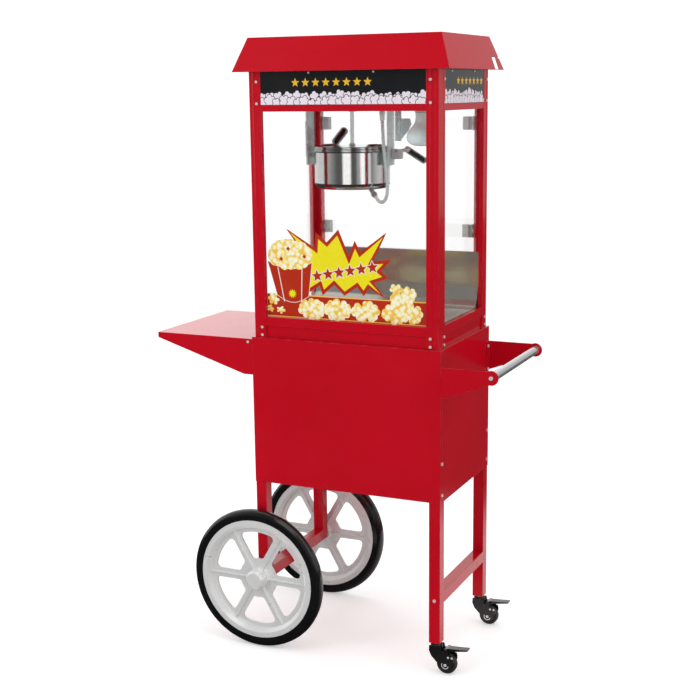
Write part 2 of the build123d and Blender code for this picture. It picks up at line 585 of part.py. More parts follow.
def control_panel():
    x = BODY_X - POST_FRONT_WIDTH
    y = BODY_Y - 3.0
    panel = block(-x, x, y, y + 2, UPPER_RAIL_TOP, BODY_TOP)
    frames = []
    for switch_x in SWITCHES.values():
        panel = panel - block(switch_x - 11, switch_x + 11, y - 1, y + 3, SWITCH_Z - 14, SWITCH_Z + 14)
        frame = block(switch_x - 13, switch_x + 13, y + 2, y + 4, SWITCH_Z - 16, SWITCH_Z + 16)
        case = block(switch_x - 11, switch_x + 11, y - 16, y + 2, SWITCH_Z - 14, SWITCH_Z + 14)
        cavity = block(switch_x - 9, switch_x + 9, y - 10, y + 5, SWITCH_Z - 12, SWITCH_Z + 12)
        pin = rod((switch_x - 9.5, y + 0.0, SWITCH_Z), (switch_x + 9.5, y + 0.0, SWITCH_Z), 1.5)
        frames.append(Part() + frame + case - cavity + pin)
    inlet_hole = block(INLET_X - 14, INLET_X + 14, y - 1, y + 3, SWITCH_Z - 10.5, SWITCH_Z + 10.5)
    add("control_panel", panel - inlet_hole, frames)

    inlet = block(INLET_X - 25, INLET_X + 25, y + 2, y + 5, SWITCH_Z - 12, SWITCH_Z + 12)
    inlet = inlet + block(INLET_X - 14, INLET_X + 14, y - 16, y + 2, SWITCH_Z - 10.5, SWITCH_Z + 10.5)
    inlet = inlet - block(INLET_X - 12, INLET_X + 12, y - 13, y + 6, SWITCH_Z - 8.5, SWITCH_Z + 8.5)
    for dx, dz in ((-7, -1.5), (0, 2), (7, -1.5)):
        blade_x = INLET_X + dx
        blade_z = SWITCH_Z + dz
        inlet = inlet + block(blade_x - 1, blade_x + 1, y - 14, y + 1, blade_z - 2, blade_z + 2)
    add("power_inlet", inlet)

    for name, switch_x in SWITCHES.items():
        half = 11.2
        rocker = [(-6, -5), (6, -5), (half, 3.5), (3, 5.2), (-3, 5.2), (-half, 3.5)]
        face = make_face(Polyline(*rocker, close=True))
        place = Plane(origin=(switch_x - 8.6, y, SWITCH_Z), x_dir=(0, 0, -1), z_dir=(1, 0, 0))
        body = extrude(place * Rot(0, 0, SWITCH_TILT) * face, 17.2)
        body = body - rod((switch_x - 10, y, SWITCH_Z), (switch_x + 10, y, SWITCH_Z), 1.5 + RUNNING_GAP)
        add(name, body)


def chamber_doors():
    pin_x = 214.5
    pin_radius = 1.8
    pin_y = BODY_Y - 9.0
    glass_y0 = BODY_Y - PROFILE - 6.0
    fixed = []

    def hinge_line(x, low, high, radius):
        return rod((x, pin_y, low), (x, pin_y, high), radius)

    for side, prefix in ((-1, "left"), (1, "right")):
        line_x = side * pin_x
        glass = block(side * 3, side * 212.5, glass_y0, glass_y0 + PANE, DOOR_BOTTOM, UPPER_RAIL_BOTTOM - 2)
        fittings = []
        for z in DOOR_HINGE_HEIGHTS:
            leaf = block(side * 189, side * 212.5, glass_y0 + PANE, glass_y0 + PANE + 1.4, z - 17, z + 17)
            clamp = block(side * 189, side * 205, glass_y0 - 1.4, glass_y0, z - 16, z + 16)
            hole_x = side * 197
            for hole_z in (z - 9, z + 9):
                clamp = clamp - rod((hole_x, glass_y0 - 3, hole_z), (hole_x, glass_y0 + 1, hole_z), 2.2)
            web = block(side * 207.5, line_x, glass_y0 + PANE, pin_y, z - 6, z + 6)
            eye = hinge_line(line_x, z - 6, z + 6, 3.0)
            bore = hinge_line(line_x, z - 7, z + 7, pin_radius + RUNNING_GAP)
            fittings += [Part() + leaf + web + eye - bore, clamp]
            for low in (z - 17, z + 6.4):
                fork = hinge_line(line_x, low, low + 10.6, 2.8)
                arm = block(line_x, side * 218, pin_y - 1.5, pin_y + 6.2, low, low + 10.6)
                fixed.append(Part() + fork + arm - hinge_line(line_x, low - 1, low + 12, pin_radius))
            fixed.append(hinge_line(line_x, z - 18, z + 18, pin_radius))
        add(prefix + "_glass_door", glass)
        add(prefix + "_door_fittings", fittings)
    add("door_hinge_pins", fixed)


def machine_screws():
    pieces = []
    front_y = -BODY_Y + 0.4
    for z in (1471, 1418, 859, 839):
        pieces += both_sides(screw((229, front_y, z), (0, -1, 0), 3.6, 2.0, 5.0))
        pieces += both_sides(screw((229, -front_y, z), (0, 1, 0), 3.6, 2.0, 5.0))
    side_x = BODY_X - 0.4
    for z in (1472, 1419, 859, 839):
        pieces += both_sides(screw((side_x, -BODY_Y + FRONT_POST_DEPTH - 5, z), (1, 0, 0), 3.6, 2.0, 5.0))
        pieces += both_sides(screw((side_x, BODY_Y - 12, z), (1, 0, 0), 3.6, 2.0, 5.0))
    for x in (-85, 85):
        pieces += front_and_back(screw((x, -BODY_Y + 1, BODY_TOP - 4), (0, -1, 0), 2.6, 2.2, 1.8))
    for y in (-91, 71):
        pieces += both_sides(screw((BODY_X - 1, y, BODY_TOP - 4), (1, 0, 0), 2.6, 2.2, 1.8))
    add("machine_screws", pieces)


# ---------------------------------------------------------------- kettle
def cup(radius, low, high, wall, corner):
    """Thin cup with a rounded bottom corner, about the kettle's axis."""
    solid = Pos(KETTLE_X, 0, low) * extrude(Circle(radius), high - low)
    solid = fillet(solid.edges().filter_by(GeomType.CIRCLE).sort_by(Axis.Z)[:1], corner)
    inside = Pos(KETTLE_X, 0, low + wall) * extrude(Circle(radius - wall), high - low)
    inside = fillet(inside.edges().filter_by(GeomType.CIRCLE).sort_by(Axis.Z)[:1], corner - wall)
    return solid - inside


def gland_axis():
    """Unit direction in which the conduit leaves the kettle."""
    last = Vector(*CONDUIT_ROUTE[-1])
    return (Vector(*CONDUIT_ROUTE[-2]) - last).normalized()


def kettle():
    wall = 1.2
    gland_end = Vector(*CONDUIT_ROUTE[-1])
    gland_start = gland_end - gland_axis() * 26
    shell = cup(KETTLE_RADIUS, KETTLE_BOTTOM, KETTLE_TOP, wall, 15)
    shell = shell - rod(tuple(gland_start), tuple(gland_end), 6.0)
    pan = cup(KETTLE_RADIUS - wall - 0.1, PAN_FLOOR, KETTLE_TOP, wall, 6)
    lip = spin([(KETTLE_RADIUS - 2.5, KETTLE_TOP), (KETTLE_RADIUS + 2.4, KETTLE_TOP),
                (KETTLE_RADIUS + 3, KETTLE_TOP + 0.7), (KETTLE_RADIUS + 2.4, KETTLE_TOP + 1.4),
                (KETTLE_RADIUS - 2.5, KETTLE_TOP + 1.4)], KETTLE_X)
    add("kettle_pot", shell, pan + lip)

    element = Pos(KETTLE_X, 0, KETTLE_BOTTOM + 6) * extrude(Circle(88), 9)
    gland = rod(tuple(gland_start), tuple(gland_end), 6.0)
    nut = extrude(Plane(origin=gland_end - gland_axis() * 9, z_dir=gland_axis()) * RegularPolygon(8.5, 6), 5)
    above = Pos(KETTLE_X, 0, KETTLE_BOTTOM + 5.5) * extrude(Circle(200), 60)
    add("kettle_heater", element, (Part() + gland + nut) - above)

    bridge = block(KETTLE_X - LID_RADIUS, KETTLE_X + LID_RADIUS, -BRIDGE_HALF, BRIDGE_HALF,
                   LID_TOP - 1.5, LID_TOP)
    bushing = rod((KETTLE_X, 0, LID_TOP - 8), (KETTLE_X, 0, LID_TOP + 6), 7.5)
    feet = []
    for side in (-1, 1):
        x = KETTLE_X + side * LID_RADIUS
        feet.append(block(x - side * 1.5, x, -BRIDGE_HALF, BRIDGE_HALF, KETTLE_TOP + 1.4, LID_TOP))
        feet.append(block(x - side * 6, x, -BRIDGE_HALF, BRIDGE_HALF, KETTLE_TOP + 1.4, KETTLE_TOP + 2.6))
    bridge = Part() + bridge + bushing + feet
    for y in (-HINGE_Y, HINGE_Y):
        for x in LID_HINGES:
            inward = BRIDGE_HALF - 6 if y > 0 else -BRIDGE_HALF + 6
            bridge = bridge + block(x - 5, x + 5, inward, y, LID_TOP - 0.5, LID_TOP + 1.2)
            bridge = bridge + rod((x - 5, y, HINGE_Z), (x + 5, y, HINGE_Z), 2.2)
            bridge = bridge + rod((x - 14, y, HINGE_Z), (x + 14, y, HINGE_Z), 1.2)
    bridge = bridge - rod((KETTLE_X, 0, LID_TOP - 20), (KETTLE_X, 0, LID_TOP + 20), ROD_RADIUS + RUNNING_GAP)
    add("lid_bridge", bridge)

    for side, name in ((-1, "front_lid_flap"), (1, "rear_lid_flap")):
        flap = spin([(0, LID_TOP - 1.5), (LID_RADIUS - 4.5, LID_TOP - 1.5), (LID_RADIUS - 4, LID_BOTTOM + 5),
                     (LID_RADIUS - 2, LID_BOTTOM + 4), (LID_RADIUS - 2, LID_BOTTOM), (LID_RADIUS, LID_BOTTOM),
                     (LID_RADIUS, LID_BOTTOM + 5.5), (LID_RADIUS - 2, LID_BOTTOM + 6.5),
                     (LID_RADIUS - 2, LID_TOP - 1), (LID_RADIUS - 3, LID_TOP), (0, LID_TOP)], KETTLE_X)
        keep = block(KETTLE_X - 150, KETTLE_X + 150, side * (BRIDGE_HALF + 0.7), side * 150, LID_BOTTOM - 1,
                     LID_TOP + 1)
        flap = flap & keep
        for x in LID_HINGES:
            flap = flap - block(x - 5.6, x + 5.6, side * 5, side * (HINGE_Y + 3.4), LID_TOP - 4, LID_TOP + 1)
        for x in LID_HINGES:
            for dx in (-10, 10):
                eye = rod((x + dx - 4, side * HINGE_Y, HINGE_Z), (x + dx + 4, side * HINGE_Y, HINGE_Z), 2.2)
                leaf = block(x + dx - 4, x + dx + 4, side * HINGE_Y, side * (HINGE_Y + 12), LID_TOP - 0.5,
                             LID_TOP + 1.2)
                line_y = side * HINGE_Y
                bore = rod((x - 20, line_y, HINGE_Z), (x + 20, line_y, HINGE_Z), 1.2 + RUNNING_GAP)
                flap = flap + eye + leaf - bore
        add(name, flap)

    start = Vector(-120.0, 31.0, LID_TOP)
    end = Vector(-111.0, 80.0, 1345.0)
    lift = (end - start).normalized()
    shank = rod(tuple(start - lift * 6), tuple(start + lift * 18), 3.5)
    grip = rod(tuple(start + lift * 9), tuple(end + lift * 4), 10.5)
    grip = fillet(grip.edges().filter_by(GeomType.CIRCLE), 3.5)
    add("lid_grip", Part() + grip + shank - block(-200, 0, 0, 60, 1280, LID_TOP))

    brackets = []
    for side in (-1, 1):
        plate_x = KETTLE_X + side * (KETTLE_RADIUS + 3.5)
        plate_out = KETTLE_X + side * (KETTLE_RADIUS + 5.5)
        plate = sheet_yz([(-20, KETTLE_TOP), (14, KETTLE_TOP), (14, PIVOT_Z - 14), (4, PIVOT_Z - 30),
                          (-14, PIVOT_Z - 30), (-20, PIVOT_Z - 14)], plate_x, plate_out)
        pad = block(KETTLE_X + side * (KETTLE_RADIUS - 2.5), plate_x, -13, 9, PIVOT_Z - 26, PIVOT_Z - 6)
        pad = pad - (Pos(KETTLE_X, 0, KETTLE_BOTTOM) * extrude(Circle(KETTLE_RADIUS), 100))
        reach = 12 if side < 0 else 0
        pin_end = plate_x + side * (HANGER_OFFSET - KETTLE_RADIUS + reach)
        pin = rod((plate_x, PIVOT_Y, PIVOT_Z), (pin_end, PIVOT_Y, PIVOT_Z), 5.0)
        brackets.append(Part() + plate + pad + pin)
    add("trunnion_brackets", brackets)

    clamp_x0 = KETTLE_X + HANGER_OFFSET + 3.5
    clamp = block(clamp_x0, clamp_x0 + 22, PIVOT_Y - 11, PIVOT_Y + 11, PIVOT_Z - 7, PIVOT_Z + 18)
    clamp_slot = block(clamp_x0 + 7, clamp_x0 + 15, PIVOT_Y - 12, PIVOT_Y + 12, PIVOT_Z + 11, PIVOT_Z + 19)
    clamp = clamp - clamp_slot
    root = Vector(clamp_x0 + 18, PIVOT_Y + 6, PIVOT_Z + 10)
    near = Vector(clamp_x0 + 24, 22, PIVOT_Z + 17)
    aim = Vector(0.283, 0.862, -0.419).normalized()
    stalk = rod(tuple(root), tuple(near + (near - root).normalized() * 6), 4.0)
    handle = rod(tuple(near), tuple(near + aim * 80), 8.5)
    handle = fillet(handle.edges().filter_by(GeomType.CIRCLE), 2.5)
    add("dump_handle", Part() + clamp + stalk + handle)


def hangers():
    pieces = []
    for side in (-1, 1):
        x = KETTLE_X + side * HANGER_OFFSET
        y0 = -36.0
        y1 = 6.0
        strap = block(x - 1.5, x + 1.5, y0, y1, HANGER_BOTTOM, CEILING)
        foot = block(x, x + side * 24, y0, y1, CEILING - 2.5, CEILING)
        bore = rod((x - 5, PIVOT_Y, PIVOT_Z), (x + 5, PIVOT_Y, PIVOT_Z), 5.0 + RUNNING_GAP)
        pieces.append(Part() + strap + foot - bore)
    x = KETTLE_X - HANGER_OFFSET - 1.5
    detent = sheet_yz([(-34, 1372), (-20, 1372), (-12, 1330), (-22, 1296), (-34, 1290)], x - 2.5, x)
    pieces[0] = pieces[0] + detent
    add("kettle_hangers", pieces)


def stirrer():
    shaft = rod((KETTLE_X, 0, PAN_FLOOR + 3), (KETTLE_X, 0, ROD_TOP - 6), ROD_RADIUS)
    tang = block(KETTLE_X - 1.5, KETTLE_X + 1.5, -ROD_RADIUS + 0.6, ROD_RADIUS - 0.6, ROD_TOP - 6, ROD_TOP)
    collar = rod((KETTLE_X, 0, PAN_FLOOR + 3), (KETTLE_X, 0, PAN_FLOOR + 15), 8)
    blades = Part()
    for turn in (0, 180):
        arm = [(4, -4), (46, -6), (76, 6), (82, 15), (76, 17), (70, 13), (46, 5), (4, 4)]
        arm = extrude(make_face(Polyline(*arm, close=True)), 3)
        blades = blades + Pos(KETTLE_X, 0, PAN_FLOOR + 3) * Rot(0, 0, turn) * arm
    add("stirrer", Part() + shaft + tang + collar + blades)

    cup_body = rod((KETTLE_X, 0, ROD_TOP - 5), (KETTLE_X, 0, ROD_TOP + 5), 9)
    slot = block(KETTLE_X - 1.8, KETTLE_X + 1.8, -12, 12, ROD_TOP - 6, ROD_TOP + 1)
    spindle = rod((KETTLE_X, 0, ROD_TOP + 5), (KETTLE_X, 0, CEILING + 20), ROD_RADIUS)
    add("drive_coupling", Part() + cup_body + spindle - slot)


def gear_motor():
    base = CEILING + SHEET
    gearbox = block(KETTLE_X - 34, KETTLE_X + 34, -26, 26, base, base + 30)
    gearbox = fillet(gearbox.edges().filter_by(Axis.Z), 6)
    bore = rod((KETTLE_X, 0, base - 1), (KETTLE_X, 0, base + 22), ROD_RADIUS + RUNNING_GAP)
    can = rod((KETTLE_X + 10, 0, base + 30), (KETTLE_X + 10, 0, base + 78), 23)
    laminations = block(KETTLE_X - 16, KETTLE_X + 36, -30, 30, base + 40, base + 60)
    add("gear_motor", Part() + gearbox + can + laminations - bore)


def lamp():
    x = 174.0
    y = -90.0
    bottom = 1314.0
    strap = block(104, 118, y - 1.5, y + 1.5, 1326, CEILING)
    strap = strap + block(118, 119.5, y - 16, y + 1.5, 1326, CEILING)
    foot = block(90, 118, y - 12, y + 1.5, CEILING - 2, CEILING)
    shield = [(119.5, 1380), (142, 1380), (146, 1366), (137, 1350), (128, 1340), (122, 1332), (119.5, 1332)]
    shield = sheet_xz(shield, y + 1.5, y)
    holder = spin([(0, 1393), (17, 1393), (19, 1397), (19, CEILING), (0, CEILING)], x, y)
    add("lamp_bracket", Part() + strap + foot + shield, holder)
    glass = [(0, bottom), (16, bottom + 1), (29, bottom + 5), (36, bottom + 13), (38, bottom + 23),
             (36, bottom + 32), (29, bottom + 42), (21, bottom + 50), (17, bottom + 58), (16.5, bottom + 79),
             (0, bottom + 79)]
    add("lamp_bulb", spin(glass, x, y))


def conduit():
    """Flexible metal conduit as straight runs joined by arcs, printed with its radii and length."""
    points = [Vector(*p) for p in CONDUIT_ROUTE]
    runs = [(b - a).length for a, b in zip(points, points[1:])]
    radii = []
    for n in range(1, len(points) - 1):
        turn = (points[n] - points[n - 1]).get_angle(points[n + 1] - points[n])
        short = min(runs[n - 1], runs[n])
        radii.append(0.45 * short / math.tan(math.radians(turn / 2)))
        print("conduit point", n, "turn", round(turn, 1), "radius", round(radii[-1], 1))
    path = FilletPolyline(*points, radius=radii)
    profile = Plane(origin=points[0], z_dir=points[1] - points[0]) * Circle(CONDUIT_DIAMETER / 2)
    body = sweep(profile, path)
    section = math.pi * CONDUIT_DIAMETER ** 2 / 4
    ratio = body.volume / (section * path.length)
    print("conduit length", round(path.length, 1), "volume ratio", round(ratio, 4))
    add("kettle_conduit", body)
    first = points[0]
    axis = (points[0] - points[1]).normalized()
    ferrule = rod(tuple(first), tuple(first + axis * (CEILING - first.Z - 3)), 6.5)
    hex_nut = extrude(Plane(origin=first + axis * 13, z_dir=axis) * RegularPolygon(8.5, 6), 8)
    collar = rod((first.X - 1, first.Y, CEILING - 6), (first.X - 1, first.Y, CEILING), 9)
    add("conduit_fitting", Part() + ferrule + hex_nut + collar)


cart_frame()
cabinet()
cabinet_door()
shelf()
push_handle()
cart_fasteners()
big_wheel(-1, "front")
big_wheel(1, "rear")
caster(-1, "front")
caster(1, "rear")
chamber_frame()
crumb_drawer()
roof()
control_panel()
chamber_doors()
machine_screws()
kettle()
hangers()
stirrer()
gear_motor()
lamp()
conduit()

os.makedirs("parts", exist_ok=True)
for name, solids in parts.items():
    moved = [Pos(ORIGIN_SHIFT, 0, 0) * solid for solid in solids]
    shape = moved[0] if len(moved) == 1 else Compound(children=moved)
    export_step(shape, "parts/" + name + ".step")
print(len(parts), "nodes")
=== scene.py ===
"""Looks of the popcorn cart: finishes, printed window art, conduit, lamp, casters' trim and studio."""

import json
import logging
import math
import random
from dataclasses import dataclass, field
from enum import Enum
from typing import Callable, Iterable, Sequence

import bmesh
import bpy
from mathutils import Matrix, Vector


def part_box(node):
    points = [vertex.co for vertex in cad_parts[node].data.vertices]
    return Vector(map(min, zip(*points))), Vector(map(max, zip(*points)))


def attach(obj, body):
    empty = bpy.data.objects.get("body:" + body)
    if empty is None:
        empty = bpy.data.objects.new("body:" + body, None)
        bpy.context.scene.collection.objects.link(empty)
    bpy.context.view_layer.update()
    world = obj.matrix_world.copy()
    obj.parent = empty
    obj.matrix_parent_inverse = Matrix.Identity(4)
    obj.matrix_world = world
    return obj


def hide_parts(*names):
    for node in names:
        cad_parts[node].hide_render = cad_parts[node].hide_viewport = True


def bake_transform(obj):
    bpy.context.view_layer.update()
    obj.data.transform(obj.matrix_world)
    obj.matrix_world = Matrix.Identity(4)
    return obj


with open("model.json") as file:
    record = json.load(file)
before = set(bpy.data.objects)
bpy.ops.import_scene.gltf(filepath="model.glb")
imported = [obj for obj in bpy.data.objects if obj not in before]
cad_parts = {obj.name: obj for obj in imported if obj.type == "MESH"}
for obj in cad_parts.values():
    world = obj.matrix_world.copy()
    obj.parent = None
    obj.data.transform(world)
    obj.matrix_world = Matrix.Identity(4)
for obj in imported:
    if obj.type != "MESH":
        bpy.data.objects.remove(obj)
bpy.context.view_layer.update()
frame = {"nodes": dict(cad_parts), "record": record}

LOG = logging.getLogger("popcorn_cart")
Point2 = tuple[float, float]
Point3 = tuple[float, float, float]
Value = bpy.types.NodeSocket | float | tuple  # a source or a constant of a node's input
MM = 0.001  # metres in a millimetre
MACHINE_X = 0.0685  # the machine's middle in the row frame
NOTHING = 1e-7  # a radius on the axis


class Slot(Enum):
    """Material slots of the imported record."""

    RED_PAINT = "red_paint"
    STAINLESS = "stainless"
    POLISHED = "polished_steel"
    SIGN = "sign_black"
    PANE = "clear_pane"
    PHENOLIC = "black_phenolic"
    WHEEL = "wheel_plastic"
    TYRE = "tyre_rubber"
    CASTER = "caster_plastic"
    TREAD = "caster_tread"
    LAMP = "lamp_glass"
    MOTOR = "motor_aluminium"
    ZINC = "zinc"


# ------------------------------------------------------------------------------------------ mesh building
def mesh_object(name: str, verts: Sequence[Point3], faces: Sequence[Sequence[int]],
                smooth: bool = True) -> bpy.types.Object:
    """Make an object from vertices and faces.

    Args:
        name: Name of the object and its mesh.
        verts: Vertex positions in metres.
        faces: Vertex indices of each face.
        smooth: Whether faces are shaded smooth.

    Returns:
        The linked object.
    """
    mesh = bpy.data.meshes.new(name)
    mesh.from_pydata([tuple(v) for v in verts], [], [tuple(f) for f in faces])
    mesh.update()
    work = bmesh.new()
    work.from_mesh(mesh)
    bmesh.ops.recalc_face_normals(work, faces=work.faces)
    work.to_mesh(mesh)
    work.free()
    for polygon in mesh.polygons:
        polygon.use_smooth = smooth
    made = bpy.data.objects.new(name, mesh)
    bpy.context.scene.collection.objects.link(made)
    return made


class MeshParts:
    """Collects vertices and faces of one piece made of several closed shapes."""

    def __init__(self) -> None:
        """Start empty."""
        self.verts: list[Vector] = []
        self.faces: list[list[int]] = []
        self.slots: list[int] = []

    def add(self, verts: Iterable[Sequence[float]], faces: Iterable[Sequence[int]], slot: int = 0) -> None:
        """Append one closed shape.

        Args:
            verts: Its vertices, in metres.
            faces: Its faces, by index into verts.
            slot: Material index of its faces.
        """
        start = len(self.verts)
        self.verts.extend(Vector(v) for v in verts)
        for face in faces:
            self.faces.append([start + n for n in face])
            self.slots.append(slot)

    def plate(self, outline: Sequence[Point2], place: Matrix, low: float, high: float,
              slot: int = 0) -> None:
        """Append a flat plate.

        Args:
            outline: Corner points in the plate's own plane, in metres.
            place: Matrix from the plate's plane to the row frame; its third axis is the thickness.
            low: Lower face along the third axis.
            high: Upper face along the third axis.
            slot: Material index.
        """
        count = len(outline)
        verts = [place @ Vector((x, y, low)) for x, y in outline]
        verts += [place @ Vector((x, y, high)) for x, y in outline]
        faces: list[list[int]] = [list(range(count))[::-1], list(range(count, 2 * count))]
        faces += [[n, (n + 1) % count, count + (n + 1) % count, count + n] for n in range(count)]
        self.add(verts, faces, slot)

    def lathe(self, profile: Sequence[Point2], place: Matrix, segments: int = 48, slot: int = 0) -> None:
        """Append a solid of revolution about the third axis of place.

        Args:
            profile: (radius, height) points; a point on the axis has radius 0.
            place: Matrix from the lathe's own frame to the row frame.
            segments: Steps round the axis.
            slot: Material index.
        """
        rings: list[list[int]] = []
        verts: list[Vector] = []
        for radius, height in profile:
            if radius < NOTHING:
                rings.append([len(verts)])
                verts.append(place @ Vector((0, 0, height)))
                continue
            rings.append(list(range(len(verts), len(verts) + segments)))
            for n in range(segments):
                turn = 2 * math.pi * n / segments
                verts.append(place @ Vector((radius * math.cos(turn), radius * math.sin(turn), height)))
        faces: list[list[int]] = []
        for lower, upper in zip(rings, rings[1:]):
            for n in range(segments):
                m = (n + 1) % segments
                if len(lower) == 1 and len(upper) == 1:
                    continue
                if len(lower) == 1:
                    faces.append([lower[0], upper[m], upper[n]])
                elif len(upper) == 1:
                    faces.append([lower[n], lower[m], upper[0]])
                else:
                    faces.append([lower[n], lower[m], upper[m], upper[n]])
        self.add(verts, faces, slot)

    def tube(self, path: Sequence[Vector], radii: Sequence[float], segments: int = 20,
             slot: int = 0) -> None:
        """Append a closed tube along a path.

        Args:
            path: Points on its centreline.
            radii: Radius at each point.
            segments: Steps round the tube.
            slot: Material index.
        """
        tangent = (path[1] - path[0]).normalized()
        side = tangent.orthogonal().normalized()
        verts: list[Vector] = []
        for n, point in enumerate(path):
            ahead = (path[min(n + 1, len(path) - 1)] - path[max(n - 1, 0)]).normalized()
            side = (side - ahead * side.dot(ahead)).normalized()
            across = ahead.cross(side)
            for step in range(segments):
                turn = 2 * math.pi * step / segments
                verts.append(point + (side * math.cos(turn) + across * math.sin(turn)) * radii[n])
        faces = [
            [ring * segments + step, ring * segments + (step + 1) % segments,
             (ring + 1) * segments + (step + 1) % segments, (ring + 1) * segments + step]
            for ring in range(len(path) - 1)
            for step in range(segments)
        ]
        faces.append(list(range(segments))[::-1])
        faces.append([(len(path) - 1) * segments + step for step in range(segments)])
        self.add(verts, faces, slot)

    def build(self, name: str, materials: Sequence[bpy.types.Material],
              smooth: bool = True) -> bpy.types.Object:
        """Make the object.

        Args:
            name: The object's name.
            materials: Materials by index.
            smooth: Whether faces are shaded smooth below the crease angle.

        Returns:
            The object, with its materials.
        """
        made = mesh_object(name, self.verts, self.faces, smooth)
        for material in materials:
            made.data.materials.append(material)
        for polygon, index in zip(made.data.polygons, self.slots):
            polygon.material_index = index
        if smooth:
            crease(made)
        return made


def crease(piece: bpy.types.Object, degrees: float = 35.0) -> None:
    """Mark edges sharper than an angle, so that smooth shading breaks there.

    Args:
        piece: The mesh object.
        degrees: Crease angle.
    """
    work = bmesh.new()
    work.from_mesh(piece.data)
    limit = math.radians(degrees)
    for edge in work.edges:
        edge.smooth = len(edge.link_faces) == 2 and edge.calc_face_angle(0.0) < limit
    work.to_mesh(piece.data)
    work.free()


def facing(origin: Sequence[float], normal: Sequence[float], across: Sequence[float]) -> Matrix:
    """Frame whose third axis is a normal and whose first axis lies along another direction.

    Args:
        origin: Its origin in the row frame, in metres.
        normal: Third axis.
        across: First axis, made square to the normal.

    Returns:
        The frame as a matrix.
    """
    third = Vector(normal).normalized()
    first = (Vector(across) - third * Vector(across).dot(third)).normalized()
    second = third.cross(first)
    rotation = Matrix((first, second, third)).transposed().to_4x4()
    return Matrix.Translation(Vector(origin)) @ rotation


def dress(piece: bpy.types.Object, body: str, slot: Slot) -> None:
    """Let a finished piece ride on its body.

    Args:
        piece: The piece, in place.
        body: CAD body that it moves with.
        slot: Record slot of its finish; not used.
    """
    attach(piece, body)
    LOG.info("%s rides on %s", piece.name, body)


# ------------------------------------------------------------------------------------------ shader nodes
def wire(tree: bpy.types.NodeTree, kind: str, inputs: dict[int | str, Value] | None = None,
         operation: str = "") -> bpy.types.Node:
    """Place a node and feed its inputs.

    Args:
        tree: Node tree that it goes in.
        kind: Blender's name of the node's type.
        inputs: A source or a constant for each input, by the input's name or place.
        operation: What a maths node works out.

    Returns:
        The node.
    """
    made = tree.nodes.new(kind)
    if operation:
        made.operation = operation
    for key, value in (inputs or {}).items():
        if isinstance(value, bpy.types.NodeSocket):
            tree.links.new(value, made.inputs[key])
        else:
            made.inputs[key].default_value = value
    return made


def maths(tree: bpy.types.NodeTree, operation: str, *values: Value) -> bpy.types.NodeSocket:
    """Work out one number.

    Args:
        tree: Node tree that it goes in.
        operation: Blender's name of the operation.
        values: Sources or constants, in order.

    Returns:
        The result.
    """
    return wire(tree, "ShaderNodeMath", dict(enumerate(values)), operation).outputs[0]


def reflected(tree: bpy.types.NodeTree, path: bpy.types.Node) -> bpy.types.NodeSocket:
    """Tell reflected rays from all others; rays through glass count as glossy too, so they are taken off.

    Args:
        tree: Node tree that it goes in.
        path: Its Light Path node.

    Returns:
        1 for a reflected ray and 0 for any other.
    """
    rays = {0: path.outputs["Is Glossy Ray"], 1: path.outputs["Is Transmission Ray"]}
    difference = wire(tree, "ShaderNodeMath", rays, "SUBTRACT")
    difference.use_clamp = True
    return difference.outputs[0]


